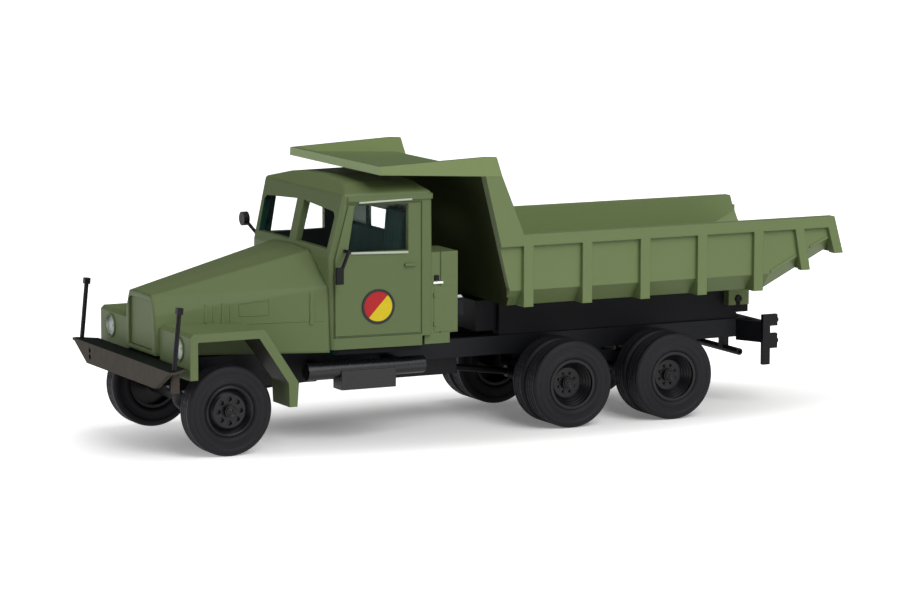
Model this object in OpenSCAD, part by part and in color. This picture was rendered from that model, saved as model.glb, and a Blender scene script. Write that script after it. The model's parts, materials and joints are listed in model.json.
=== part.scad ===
// Three-axle long-bonnet tipper truck, a plastic scale model at 1:87.
// +X points forward, +Y to the truck's left, +Z up. The origin is on the ground at the middle.

/* [Layout] */
// Diameter of every tyre
wheel_d = 10.2; // [9.4:0.1:11]
// Front axle to first rear axle
wheelbase = 43.15; // [42:0.05:47]
// First rear axle to second rear axle
bogie_spacing = 13.45; // [13:0.05:15]
// Bumper face ahead of the front axle
front_overhang = 8.2; // [7.6:0.1:8.6]
// Tail of the bed behind the second rear axle
rear_overhang = 22.7; // [22:0.1:25]
// Frame rail underside above the axle centres
rail_lift = 2.9; // [2.7:0.1:3.6]

/* [Wheels] */
// Width of one tyre
tyre_w = 2.6; // [2.2:0.1:2.8]
// Radius of the tyre's shoulder
tyre_shoulder_r = 0.4; // [0.3:0.05:0.8]
// Radius of the rim seat
rim_r = 2.95; // [2.6:0.05:3.3]
// Outer tyre face of the front wheels from the middle
front_track_half = 12.3; // [11.8:0.1:12.6]
// Outer tyre face of the rear wheels from the middle
rear_track_half = 12.5; // [12:0.1:12.7]
// Gap between twin tyres
twin_gap = 0.5; // [0.3:0.1:0.7]
// Radius of the axle shafts
shaft_r = 0.5; // [0.4:0.05:0.6]
// Radius of the axle housing tubes
axle_tube_r = 1; // [0.8:0.05:1.1]
// Radius of the ball-shaped gear housing on each axle
gear_ball_r = 1.8; // [1.5:0.1:2]

/* [Chassis] */
// Height of the frame rails
rail_h = 2.2; // [1.8:0.1:2.6]
// Outer face of the rails from the middle
rail_half = 4.9; // [4.5:0.1:5.2]
// Width of a rail's flange
rail_flange = 1; // [0.8:0.1:1.3]
// Thickness of a rail's web and flanges
rail_wall = 0.4; // [0.3:0.05:0.5]
// Height of the tipping subframe on the rails
subframe_h = 4.1; // [3.9:0.1:4.6]
// Tipping hinge above the rails
hinge_lift = 2.55; // [2.3:0.05:2.8]
// Tipping hinge behind the second rear axle
hinge_setback = 12.35; // [12:0.05:12.8]
// Radius of the tipping hinge pin
hinge_pin_r = 0.4; // [0.3:0.05:0.5]
// Height of the bumper
bumper_h = 2.4; // [2:0.05:2.7]
// Half width of the bumper along its top
bumper_half = 14.6; // [14:0.1:15]
// Length of the marker rods
rod_h = 7; // [5:0.5:9]

/* [Cab] */
// Wall thickness of the cab and bonnet
cab_wall = 0.7; // [0.6:0.05:0.8]
// Bonnet nose ahead of the front axle
bonnet_nose = 5.7; // [5.2:0.1:5.8]
// Cowl behind the front axle
cowl_setback = 12.9; // [12.8:0.1:13.6]
// Length of the cab behind the cowl
cab_length = 12.35; // [11.8:0.05:12.8]
// Half width of the cab at the cowl
cab_half_front = 10.9; // [10.6:0.1:11.2]
// Half width of the cab at the rear wall
cab_half_rear = 11.8; // [11.4:0.1:12]
// Sill of the cab above the rails
sill_lift = 0.7; // [0.5:0.1:1]
// Cowl height above the sill
cowl_h = 10.3; // [9.8:0.1:10.6]
// Drip rail height above the sill
drip_h = 17.3; // [17:0.1:17.6]
// Rise of the roof's crown above the drip rail
roof_rise = 1.45; // [1.2:0.05:1.6]
// Lean of the windscreen from the cowl to the roof
screen_lean = 1.6; // [1.3:0.1:2]
// Half width of the radiator front
radiator_half = 4.1; // [3.8:0.1:4.5]
// Height of the radiator front above the rails
radiator_h = 7.05; // [6.6:0.05:7.4]
// Outer edge of the front wings from the middle
wing_half = 13.2; // [12.9:0.1:13.6]
// Radius of the headlamps
lamp_r = 1.4; // [1.1:0.05:1.6]

/* [Bed] */
// Half width of the bed over its rims
bed_half = 12.8; // [12.6:0.1:13.2]
// Height of the bed's rim above its underside
bed_h = 8.35; // [8:0.05:9]
// Height of the fold above the bed's underside
bed_fold_h = 1.9; // [1.6:0.05:2.3]
// Inward reach of the sloped panel under the fold
bed_fold_in = 1.6; // [1.3:0.1:1.9]
// Thickness of the bed's panels
bed_wall = 0.7; // [0.6:0.05:0.8]
// How far rim and ribs stand proud of the side panels
rib_proud = 0.5; // [0.3:0.05:0.6]
// Width of the ribs
rib_w = 1.25; // [0.9:0.05:1.4]
// Number of upright ribs on each side
rib_count = 5; // [3:1:5]
// Height of the rim band
rim_h = 1.3; // [1:0.05:1.6]
// Foot of the bed's front wall behind the cab
bed_cab_gap = 10.05; // [9.6:0.05:10.6]
// Slope of the kicked-up tail
tail_angle = 26; // [22:0.5:27]
// Forward lean of the front wall
wall_lean = 14; // [12:0.5:15]
// Top of the front wall above the bed's underside
wall_h = 15.3; // [15.2:0.05:16]
// Reach of the cab guard ahead of the front wall
guard_l = 13.1; // [12:0.1:14]
// Upward pitch of the cab guard
guard_pitch = 3; // [2:0.25:4]
// Height of the guard's flanges at the front wall
guard_flange_h = 2.2; // [1.8:0.1:2.4]

/* [Hidden] */
$fn = 48;
// Number of sides on corners inside blended shells
blend_fn = 24;
// Extra reach of a cut past the face that it opens
overrun = 0.5;
// Thickness of the end sections between which a shell is blended
sliver = 0.02;
// Gap between pieces that are pushed together
seam = 0.03;
// Radial clearance of a shaft or pin in its bore
running_fit = 0.05;

// Stations along the truck
overall_l = front_overhang + wheelbase + bogie_spacing + rear_overhang;
nose_x = overall_l / 2;
front_axle_x = nose_x - front_overhang;
rear_axle_x = front_axle_x - wheelbase;
last_axle_x = rear_axle_x - bogie_spacing;
rear_axles = [rear_axle_x, last_axle_x];
tail_x = -overall_l / 2;
bonnet_x = front_axle_x + bonnet_nose;
cowl_x = front_axle_x - cowl_setback;
cab_rear_x = cowl_x - cab_length;
hinge_x = last_axle_x - hinge_setback;
bogie_x = (rear_axle_x + last_axle_x) / 2;
gearbox_x = (cowl_x + cab_rear_x) / 2;

// Heights
axle_z = wheel_d / 2;
rail_z = axle_z + rail_lift;
rail_top_z = rail_z + rail_h;
subframe_top_z = rail_top_z + subframe_h;
hinge_z = rail_top_z + hinge_lift;
sill_z = rail_top_z + sill_lift;
cowl_z = sill_z + cowl_h;
drip_z = sill_z + drip_h;
bed_rest_gap = 0.3;
bed_z = subframe_top_z + bed_rest_gap;
rim_top_z = bed_z + bed_h;
fold_z = bed_z + bed_fold_h;

// Frame rails and their crossmembers
rail_front_setback = 1.4;
rail_front_x = nose_x - rail_front_setback;
rail_overhang = 1.95;
rail_rear_x = hinge_x - rail_overhang;
crossmember_l = 1.2;
crossmember_shares = [0.04, 0.3, 0.5, 0.92];
crossmembers = concat([for (share = crossmember_shares) rail_rear_x + share * (rail_front_x - rail_rear_x)],
    [gearbox_x]);

// Leaf springs, one step of length per leaf
leaf_t = 0.35;
leaf_w = 0.9;
leaf_count = 4;
shackle_h = 0.4;
shackle_l = 0.8;
saddle_l = 2;
saddle_z = rail_z - shackle_h - leaf_count * leaf_t;
spring_y = rail_half - leaf_w;
front_leaf_l = 10.4;
front_leaf_step = 1.9;
bogie_leaf_step = 3.4;

// Axle housings and the shafts between them
housing_gap = 0.4;
front_housing_half = front_track_half - tyre_w - housing_gap;
rear_housing_half = rear_track_half - 2 * tyre_w - twin_gap - housing_gap;
gear_nose_r = 0.7;
gear_nose_l = 2.4;
prop_shaft_r = 0.4;
gearbox_l = 8;
gearbox_half = 2;
gearbox_drop = 1.6;
sump_l = 8;
sump_half = 2.4;
sump_drop = 2;
sump_x = gearbox_x + gearbox_l / 2;
transfer_l = 9.5;
transfer_half = 3.5;
transfer_drop = 2.1;
transfer_setback = 2.5;
transfer_x = cab_rear_x - transfer_setback;
transfer_z = rail_z - transfer_drop / 2;

// Wheels: tyre core, rim barrel and dished disc
rim_gap = 0.02;
rim_barrel_t = 0.35;
rim_recess = 0.35;
rim_lip = 0.2;
tyre_bead_r = 0.25;
disc_t = 0.5;
disc_crown_r = 1.9;
disc_crown = 0.55;
disc_hole_r = 0.28;
disc_hole_d = 0.3;
disc_hole_count = 8;
disc_hole_ring_r = 1.35;
hub_r = 0.75;
hub_l = 0.5;
twin_dish = 1.7;

// Tipping subframe and hinge
subframe_wall = 0.5;
subframe_inset = 0.35;
subframe_half = rail_half - subframe_inset;
subframe_flange = 1.4;
subframe_tail = 0.6;
subframe_front_gap = 2.2;
subframe_bar_shares = [0, 0.25, 0.5, 0.75, 0.95];
subframe_bar_l = 1.4;
subframe_nose_l = 2.7;
subframe_nose_half = 3.8;
bearer_lift = 0.7;
bearer_h = 1.1;
bearer_l = 2.2;
clip_gap = 0.2;
clip_w = 1.2;
clip_back = 1.5;
clip_front = 1.3;
clip_drop = 0.75;
clip_slot = 0.6;
clip_y = subframe_half + clip_gap;
pin_stub = 0.25;

// Bumper, marker rods and their brackets
bumper_t = 0.6;
bumper_top_depth = 2.3;
bumper_drop = 0.15;
bumper_top_z = rail_top_z + bumper_drop;
bumper_cut_w = 4.4;
bumper_plate_t = 0.3;
bumper_arm_half = rail_half - rail_flange;
rod_r = 0.26;
rod_inset = 0.85;
rod_lean = 0.7;
rod_knob_w = 0.68;
rod_knob_h = 0.7;
rod_foot_w = 0.85;
rod_foot_t = 0.5;
rod_foot_drop = 0.3;
rod_foot_back = 0.6;
rod_foot_in = 1.2;
rod_x = nose_x - bumper_t - rod_foot_t / 2;
rod_y = bumper_half - rod_inset;
rod_angle = atan(rod_lean / rod_h);

// Bonnet sections at the radiator and at the cowl
bonnet_lift = 0.4;
bonnet_rise = 0.5;
bonnet_shoulder = 0.63;
bonnet_flank_lean = 2.9;
bonnet_base_z = rail_top_z + bonnet_lift;
bonnet_top_z = rail_top_z + radiator_h;
bonnet_rear_top_z = cowl_z + bonnet_rise;
bonnet_rear_half = cab_half_front - bonnet_shoulder;
bonnet_edge_r = 0.45;
bonnet_front_slope_h = 1.85;
bonnet_rear_slope_h = 3.4;
bonnet_front_flank_z = bonnet_top_z - bonnet_front_slope_h;
bonnet_rear_flank_z = bonnet_rear_top_z - bonnet_rear_slope_h;
bonnet_front_crease = 3.3;
bonnet_rear_crease = 5.45;
bonnet_front_crown = 0.1;
bonnet_rear_crown = 0.2;
grille_frame = 0.7;
grille_foot = 0.5;
grille_recess = 0.3;
grille_t = 0.5;
grille_corner_r = 0.6;

// Front wings, an outline of bent sheet
wing_sheet = 0.95;
wing_slant_sheet = 1.25;
wing_front_reach = 5.2;
wing_rise = 3.95;
wing_foot_drop = 1.2;
wing_top_back = 4.1;
wing_slant_back = 7.95;
wing_slant_drop = 2.3;
wing_flap_back = 7.75;
wing_flap_drop = 5;
wing_corner = 0.4;
wing_front_x = front_axle_x + wing_front_reach;
wing_top_z = rail_top_z + wing_rise;
wing_foot_z = rail_top_z - wing_foot_drop;
wing_top_rear_x = front_axle_x - wing_top_back;
wing_slant_x = front_axle_x - wing_slant_back;
wing_slant_z = rail_top_z - wing_slant_drop;
wing_flap_x = front_axle_x - wing_flap_back;
wing_flap_z = rail_top_z - wing_flap_drop;
lamp_inset = 3.1;
lamp_drop = 2;
lamp_z = wing_top_z - lamp_drop;
lamp_depth = 0.8;
lamp_lens = 0.35;
lamp_lens_r = 3;

// Cab openings
cab_corner_r = 0.8;
cab_rear_r = 0.35;
roof_r = 1.1;
roof_setback = 1.5;
// Roof section from the edge to the middle: shares of half width, rise, setback and rounding
roof_shares = [[1, 0.25, 0, 0.45], [0.72, 0.8, 0.6, 1], [0, 1, 1, 1]];
roof_half_col = 0;
roof_rise_col = 1;
roof_back_col = 2;
roof_round_col = 3;
gutter_h = 0.6;
gutter_proud = 0.15;
gutter_gap = 0.5;
sill_notch_l = 1.25;
sill_notch_h = 1.1;
handle_l = 1.35;
handle_h = 0.3;
handle_proud = 0.25;
handle_gap = 2.1;
handle_low = 9.15;
door_rear_gap = 1.3;
door_front_gap = 0.4;
door_foot = 1.3;
door_groove_w = 0.22;
door_groove_d = 0.15;
window_low = 10.95;
window_h = 5.3;
window_rear_gap = 2.95;
window_l = 7.3;
window_slant = 0.9;
screen_low = 11.35;
screen_h = 4.65;
screen_arch = 0.5;
screen_post = 0.9;
screen_half_low = 9.4;
screen_half_top = 9.7;
screen_corner = 0.5;
rear_window_half = 4.3;
rear_window_h = 4.2;
glass_inset = 0.25;
glass_t = 0.25;
glass_gap = 0.03;

// Cab inside
floor_t = 0.9;
inside_gap = 0.12;
seat_h = 4.4;
seat_l = 4.6;
seat_half = 9;
seat_split = 0.6;
backrest_t = 1.2;
backrest_h = 9.8;
dash_l = 1.8;
dash_low = 6.8;
dash_h = 3.6;
steering_r = 1.9;
steering_rim_r = 0.22;
steering_tilt = 35;
steering_hub_r = 0.4;
steering_y = 5;
steering_gap = 0.5;

// Pieces hung on the cab and the rails
locker_l = 3.45;
locker_depth = 5.2;
locker_half = 11.3;
locker_low = 1.2;
locker_h = 9.3;
locker_step_l = 2.45;
locker_groove = 0.25;
locker_groove_share = 0.62;
locker_toe_l = 0.75;
silencer_r = 1;
silencer_y = 9.3;
silencer_l = 14.7;
silencer_drop = 1.85;
silencer_case_l = 6.8;
silencer_case_half = 1.15;
silencer_case_drop = 2.2;
hanger_l = 0.8;
hanger_h = 0.7;
hanger_shares = [0.15, 0.8];
tank_l = 10;
tank_w = 5.4;
tank_h = 4.2;
tank_corner_r = 1.1;
mirror_stalk_r = 0.2;
mirror_head_r = 0.82;
mirror_head_t = 0.7;
mirror_reach = 1.1;
mirror_rise = 2.2;
mirror_plate_w = 0.85;
mirror_plate_h = 1.9;
mirror_plate_t = 0.4;
mirror_drop = 2.6;
mirror_elbow_back = 1.75;
mirror_elbow_rise = 0.9;
mirror_swing = 0.45;
mirror_lean = 1.3;

// Rear crossbeam with lamp posts
beam_t = 1;
beam_h = 2.5;
beam_half = 8.6;
beam_drop = 0.1;
beam_x = rail_rear_x;
post_t = 0.55;
post_drop = 2.65;
lamp_knob_l = 1;
lamp_knob_h = 1.4;
lamp_knob_rise = 0.9;
low_knob_h = 1.8;
low_knob_drop = 3.2;
tail_lamp_t = 0.15;
stay_t = 0.6;
stay_run = 1.6;
tailpipe_r = 0.42;
tailpipe_back = 1.05;
tailpipe_drop = 1.3;
tailpipe_y = 8.2;
tailpipe_z = rail_z - tailpipe_drop;
coupling_r = 0.9;
coupling_bore_r = 0.45;
coupling_l = 1.5;
coupling_t = 0.8;

// Bed outline
bed_front_x = cab_rear_x - bed_cab_gap;
panel_out = bed_half - rib_proud;
panel_in = panel_out - bed_wall;
panel_mid = panel_out - bed_wall / 2;
floor_half = panel_out - bed_fold_in;
rim_low_z = rim_top_z - rim_h;
rim_mid_z = rim_top_z - rim_h / 2;
panel_foot_z = fold_z + bed_wall / 2;
wall_run = bed_wall / cos(wall_lean);
wall_top_z = bed_z + wall_h;
kink_back = 0.45;
kink_x = hinge_x - kink_back;
tail_lean = 1.25;
tail_flange_h = 4.45;
tail_flange_w = 1.2;
tail_floor_gap = 0.6;
tail_foot_z = rim_top_z - tail_flange_h;
tail_top_x = tail_x + tail_lean;
tail_floor_x = tail_x + tail_floor_gap;
tail_rib_setback = 4.35;
tail_rib_lean = 1;
tail_rib_x = kink_x - tail_rib_setback;
tail_rib_z = bed_z + ramp(tail_rib_x);
gusset_inset = 0.2;
gusset_let = 0.1;
tail_lip_l = 0.5;
rib_last_gap = 1.3;
rib_first_gap = 1.75;
rib_last_x = hinge_x + rib_last_gap;
rib_pitch = (bed_front_x - rib_first_gap - rib_last_x) / (rib_count - 1);
strip_low_w = 3.25;
strip_top_w = 2.15;
guard_x = wall_x(wall_top_z);
guard_taper = 0.6;
guard_half_front = bed_half - guard_taper;
guard_wall = 0.6;
guard_floor_t = 0.5;
guard_lip_h = 0.95;
guard_tail_low = strip_top_w;
guard_tail_high = 1.3;

function wall_x(z) = bed_front_x + (z - bed_z) * tan(wall_lean);
function ramp(x) = max(0, kink_x - x) * tan(tail_angle);
function tail_edge_x(z) = tail_x + (z - tail_foot_z) * tail_lean / tail_flange_h;
// Where the rising foot of the panel meets the leaning rear edge
function panel_end_z() = (panel_foot_z + (kink_x - tail_x) * tan(tail_angle)
    + tail_foot_z * tail_lean / tail_flange_h * tan(tail_angle))
    / (1 + tail_lean / tail_flange_h * tan(tail_angle));

body_green = "darkolivegreen";
chassis_black = "#222226";

// An outline in X and Z, extruded between two places across the truck
module across(y0, y1) {
    translate([0, y1, 0]) rotate([90, 0, 0]) linear_extrude(y1 - y0) children();
}

// An outline in Y and Z, extruded between two stations along the truck
module along(x0, x1) {
    translate([x0, 0, 0]) rotate([90, 0, 90]) linear_extrude(x1 - x0) children();
}

// A round bar across the truck
module bar_y(x, z, r, y0, y1) {
    translate([x, y0, z]) rotate([-90, 0, 0]) cylinder(r = r, h = y1 - y0);
}

// A round bar along the truck
module bar_x(y, z, r, x0, x1) {
    translate([x0, y, z]) rotate([0, 90, 0]) cylinder(r = r, h = x1 - x0);
}

// A box between two corners
module box(low, high) {
    translate(low) cube(high - low);
}

// The same piece on both sides
module pair() {
    children();
    mirror([0, 1, 0]) children();
}

// A channel section on the left, open towards the middle
module channel(outer, flange, z0, z1, wall) {
    difference() {
        translate([outer - flange, z0]) square([flange, z1 - z0]);
        translate([outer - flange - overrun, z0 + wall])
            square([flange + overrun - wall, z1 - z0 - 2 * wall]);
    }
}

module chassis_rails() color(chassis_black) {
    pair() along(rail_rear_x, rail_front_x) channel(rail_half, rail_flange, rail_z, rail_top_z, rail_wall);
    for (x = crossmembers) {
        box([x - crossmember_l / 2, rail_wall - rail_half, rail_z + rail_wall],
            [x + crossmember_l / 2, rail_half - rail_wall, rail_top_z - rail_wall]);
    }
}

// Stepped leaves, shortest below where the spring hangs from the rail by its ends
module front_springs() color(chassis_black) pair() {
    y0 = spring_y;
    y1 = spring_y + leaf_w;
    for (i = [0 : leaf_count - 1]) {
        half = (front_leaf_l - (leaf_count - 1 - i) * front_leaf_step) / 2;
        z = saddle_z + i * leaf_t;
        box([front_axle_x - half, y0, z], [front_axle_x + half, y1, z + leaf_t]);
    }
    for (end = [-1, 1]) {
        x = front_axle_x + end * (front_leaf_l - shackle_l) / 2;
        box([x - shackle_l / 2, y0, rail_z - shackle_h], [x + shackle_l / 2, y1, rail_z]);
    }
}

// Longest leaf below, resting on both axles and clamped under the rail at its middle
module bogie_springs() color(chassis_black) pair() {
    y0 = spring_y;
    y1 = spring_y + leaf_w;
    for (i = [0 : leaf_count - 1]) {
        half = (bogie_spacing + saddle_l - i * bogie_leaf_step) / 2;
        box([bogie_x - half, y0, saddle_z + i * leaf_t], [bogie_x + half, y1, saddle_z + (i + 1) * leaf_t]);
    }
    box([bogie_x - saddle_l / 2, y0, rail_z - shackle_h], [bogie_x + saddle_l / 2, y1, rail_z]);
}

// Axle tube with its gear housing, shaft noses and spring saddles
module axle_housing(x, half, noses) {
    difference() {
        union() {
            bar_y(x, axle_z, axle_tube_r, -half, half);
            translate([x, 0, axle_z]) sphere(r = gear_ball_r);
            for (nose = noses)
                bar_x(0, axle_z, gear_nose_r, min(x, x + nose * gear_nose_l),
                    max(x, x + nose * gear_nose_l));
            pair() box([x - saddle_l / 2, spring_y, axle_z],
                [x + saddle_l / 2, spring_y + leaf_w, saddle_z]);
        }
        bar_y(x, axle_z, shaft_r + running_fit, -half - overrun, half + overrun);
    }
}

module front_axle_housing() color(chassis_black) axle_housing(front_axle_x, front_housing_half, [-1]);

module rear_axle_housing(i) color(chassis_black)
    axle_housing(rear_axles[i], rear_housing_half, i == 0 ? [-1, 1] : [1]);

// Engine sump, gearbox under the cab and transfer box behind it, with a shaft to each axle
module driveline() color(chassis_black) {
    box([gearbox_x - gearbox_l / 2, -gearbox_half, rail_z - gearbox_drop],
        [gearbox_x + gearbox_l / 2, gearbox_half, rail_z + rail_wall]);
    box([sump_x, -sump_half, rail_z - sump_drop], [sump_x + sump_l, sump_half, rail_z + rail_wall]);
    box([transfer_x - transfer_l / 2, -transfer_half, rail_z - transfer_drop],
        [transfer_x + transfer_l / 2, transfer_half, rail_z + rail_wall]);
    reach = gear_nose_l + 2 * seam;
    rod([transfer_x, 0, transfer_z], [front_axle_x - reach, 0, axle_z], prop_shaft_r);
    rod([rear_axle_x + reach, 0, axle_z], [transfer_x, 0, transfer_z], prop_shaft_r);
    bar_x(0, axle_z, prop_shaft_r, last_axle_x + gear_nose_l, rear_axle_x - gear_nose_l);
}

// Beams on the rails, with a hinge pin and a bearer on each side
module tipper_subframe() color(chassis_black) {
    rear = hinge_x - subframe_tail;
    front = bed_front_x - subframe_front_gap;
    pair() {
        along(rear, front)
            channel(subframe_half, subframe_flange, rail_top_z, subframe_top_z, subframe_wall);
        bar_y(hinge_x, hinge_z, hinge_pin_r, subframe_half - subframe_wall, clip_y + clip_w + pin_stub);
        box([hinge_x - bearer_l, subframe_half - subframe_flange, rail_top_z + bearer_lift],
            [hinge_x, subframe_half, rail_top_z + bearer_lift + bearer_h]);
    }
    for (share = subframe_bar_shares) {
        x = rear + share * (front - rear);
        box([x, subframe_wall - subframe_half, rail_top_z + subframe_wall],
            [x + subframe_bar_l, subframe_half - subframe_wall, subframe_top_z - subframe_wall]);
    }
    box([front - subframe_bar_l, -subframe_nose_half, rail_top_z + subframe_wall],
        [front + subframe_nose_l, subframe_nose_half, subframe_top_z]);
}

// Bumper face with cut lower corners, and its top flange
module front_bumper() color(chassis_black) {
    z0 = bumper_top_z - bumper_h;
    foot_half = bumper_half - bumper_cut_w;
    along(nose_x - bumper_t, nose_x) polygon([[-bumper_half, bumper_top_z], [-foot_half, z0],
        [foot_half, z0], [bumper_half, bumper_top_z]]);
    box([nose_x - bumper_top_depth, -bumper_arm_half, bumper_top_z - bumper_t],
        [nose_x, bumper_arm_half, bumper_top_z]);
    depth = bumper_t + rod_foot_t + rod_foot_w + rod_foot_back;
    foot_x = rod_x - rod_foot_back;
    foot_y = rod_y - rod_foot_in;
    plate_half = rod_y - rod_foot_w;
    pair() {
        difference() {
            translate([0, 0, bumper_top_z - bumper_plate_t]) linear_extrude(bumper_plate_t) polygon([
                [nose_x, 0], [nose_x, bumper_half], [nose_x - bumper_t, bumper_half],
                [nose_x - depth, plate_half], [nose_x - depth, 0]]);
            box([nose_x - bumper_top_depth - overrun, -overrun, rail_z],
                [rail_front_x, rail_half, rail_top_z]);
        }
        box([foot_x - rod_foot_w / 2, foot_y - rod_foot_t / 2, z0 - rod_foot_drop],
            [foot_x + rod_foot_w / 2, foot_y + rod_foot_t / 2, bumper_top_z]);
    }
}

// Thin rods on the bumper ends that show the truck's width
module marker_rods() color(chassis_black) pair() {
    translate([rod_x, rod_y, bumper_top_z]) rotate([0, -rod_angle, 0]) {
        cylinder(r = rod_r, h = rod_h);
        translate([-rod_knob_w / 2, -rod_knob_w / 2, rod_h - rod_knob_h])
            cube([rod_knob_w, rod_knob_w, rod_knob_h]);
    }
}

// Half width of the cab at a station
function cab_half(x) = cab_half_front + (cowl_x - x) * (cab_half_rear - cab_half_front) / cab_length;

// Outer or inner form of the cab, blended from corner posts and a crowned roof
module cab_form(inset, low) {
    front_x = cowl_x - cab_corner_r - inset;
    rear_x = cab_rear_x + cab_rear_r + inset;
    hull($fn = blend_fn) {
        for (side = [-1, 1]) {
            translate([front_x, side * (cab_half_front - cab_corner_r - inset), low])
                cylinder(r = cab_corner_r, h = cowl_z - low);
            translate([rear_x, side * (cab_half_rear - cab_rear_r - inset), low])
                cylinder(r = cab_rear_r, h = cowl_z - low);
            for (row = roof_shares) {
                r = row[roof_round_col] * roof_r;
                z = drip_z + row[roof_rise_col] * roof_rise - r - inset;
                back = row[roof_back_col] * roof_setback;
                share = row[roof_half_col];
                front_y = side * share * (cab_half_front - r - inset);
                rear_y = side * share * (cab_half_rear - r - inset);
                translate([cowl_x - screen_lean - back - r - inset, front_y, z]) sphere(r = r);
                translate([cab_rear_x + r + inset, rear_y, z]) sphere(r = r);
            }
        }
    }
}

// Window outlines, each grown or shrunk by the same margin
module door_window(margin) {
    x0 = cab_rear_x + window_rear_gap + margin;
    x1 = x0 + window_l - 2 * margin;
    z0 = sill_z + window_low + margin;
    z1 = z0 + window_h - 2 * margin;
    polygon([[x0, z0], [x1, z0], [x1 - window_slant, z1], [x0, z1]]);
}

module screen_window(margin) {
    z0 = sill_z + screen_low + margin;
    z1 = z0 + screen_h - 2 * margin;
    y0 = screen_post + margin;
    y1 = screen_half_top - margin;
    polygon([[y0, z0], [screen_half_low - margin, z0], [y1, z1 - screen_arch - screen_corner],
        [y1 - screen_corner, z1 - screen_arch], [y0, z1]]);
}

module rear_window(margin) {
    z0 = sill_z + screen_low + margin;
    translate([margin - rear_window_half, z0])
        square([2 * (rear_window_half - margin), rear_window_h - 2 * margin]);
}

// The outline of a door as a fine groove
module door_line(margin) {
    x0 = cab_rear_x + door_rear_gap + margin;
    x1 = cowl_x - door_front_gap - margin;
    z0 = sill_z + door_foot + margin;
    z1 = drip_z - cab_corner_r - margin;
    polygon([[x0, z0], [x1, z0], [x1, cowl_z], [x1 - screen_lean, z1], [x0, z1]]);
}

// Rain gutter along the roof's edge, behind the windscreen
module gutter() {
    intersection() {
        cab_form(-gutter_proud, sill_z);
        box([cab_rear_x - overrun, -cab_half_rear - overrun, drip_z - gutter_h],
            [cowl_x - screen_lean - gutter_gap, cab_half_rear + overrun, drip_z]);
    }
}

module cab_shell() color(body_green) {
    difference() {
        union() {
            cab_form(0, sill_z);
            gutter();
            pair() {
                x = cab_rear_x + handle_gap;
                z = sill_z + handle_low;
                y = cab_half(x);
                box([x, y - cab_wall, z], [x + handle_l, y + handle_proud, z + handle_h]);
            }
        }
        cab_form(cab_wall, sill_z - overrun);
        across(-cab_half_rear - overrun, cab_half_rear + overrun) door_window(0);
        pair() along(gearbox_x, cowl_x + overrun) screen_window(0);
        along(cab_rear_x - overrun, gearbox_x) rear_window(0);
        box([cab_rear_x - overrun, -cab_half_rear - overrun, sill_z - overrun],
            [cab_rear_x + sill_notch_l, cab_half_rear + overrun, sill_z + sill_notch_h]);
        difference() {
            across(-cab_half_rear - overrun, cab_half_rear + overrun) difference() {
                door_line(0);
                door_line(door_groove_w);
            }
            cab_form(door_groove_d, sill_z - overrun);
        }
    }
}

// A thin layer inside the cab's wall, from which the panes are cut
module glass_layer() {
    difference() {
        cab_form(glass_inset, sill_z);
        cab_form(glass_inset + glass_t, sill_z - overrun);
    }
}

module windscreen_glass() color("lightblue", 0.4) intersection() {
    glass_layer();
    pair() along(gearbox_x, cowl_x) screen_window(glass_gap);
}

module door_glass() color("lightblue", 0.4) intersection() {
    glass_layer();
    across(-cab_half_rear, cab_half_rear) door_window(glass_gap);
}

module rear_glass() color("lightblue", 0.4) intersection() {
    glass_layer();
    along(cab_rear_x, gearbox_x) rear_window(glass_gap);
}

// Floor pan on the rails, seats and dashboard, all inside the cab's walls
module cab_interior() color(chassis_black) intersection() {
    cab_form(cab_wall + inside_gap, rail_top_z);
    union() {
        x0 = cab_rear_x + cab_wall + inside_gap;
        x1 = cowl_x - cab_wall - inside_gap;
        half = cab_half_rear;
        floor_z = rail_top_z + floor_t;
        box([x0, -half, rail_top_z], [x1, half, floor_z]);
        for (side = [-1, 1]) {
            y0 = side > 0 ? seat_split : -seat_half;
            y1 = side > 0 ? seat_half : -seat_split;
            box([x0, y0, floor_z], [x0 + seat_l, y1, floor_z + seat_h]);
            box([x0, y0, floor_z], [x0 + backrest_t, y1, floor_z + backrest_h]);
        }
        box([x1 - dash_l, -half, floor_z + dash_low], [x1, half, floor_z + dash_low + dash_h]);
    }
}

module steering_wheel() color(chassis_black) {
    z = rail_top_z + floor_t + dash_low + dash_h / 2;
    face_x = cowl_x - cab_wall - inside_gap - dash_l;
    x = face_x - steering_hub_r * sin(steering_tilt) - seam;
    column = steering_gap + steering_r * sin(steering_tilt);
    translate([x, steering_y, z]) rotate([0, -90 + steering_tilt, 0]) {
        cylinder(r = steering_hub_r, h = column);
        translate([0, 0, column]) {
            rotate_extrude() translate([steering_r, 0]) circle(r = steering_rim_r);
            for (turn = [0 : 120 : 240]) rotate([0, 0, turn])
                translate([0, -steering_rim_r, -steering_rim_r])
                    cube([steering_r, 2 * steering_rim_r, 2 * steering_rim_r]);
        }
    }
}

// Half width of the bonnet's flank at its foot, from that at the crease
function flank_half(half, flank_z) = half + (flank_z - bonnet_base_z) * tan(bonnet_flank_lean);

// Bonnet section: flanks that lean in, sloped shoulders and a crowned middle
module bonnet_section(half, flank_z, crease, top_z, crown, inset) {
    foot_half = flank_half(half, flank_z) - inset;
    hull($fn = blend_fn) {
        for (side = [-1, 1]) {
            translate([side * foot_half - (side > 0 ? sliver : 0), bonnet_base_z]) square([sliver, sliver]);
            translate([side * (half - bonnet_edge_r - inset), flank_z - bonnet_edge_r - inset])
                circle(r = bonnet_edge_r);
            translate([side * (crease - bonnet_edge_r - inset), top_z - bonnet_edge_r - inset])
                circle(r = bonnet_edge_r);
        }
        translate([-bonnet_edge_r, top_z - inset]) square([2 * bonnet_edge_r, crown]);
    }
}

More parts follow.
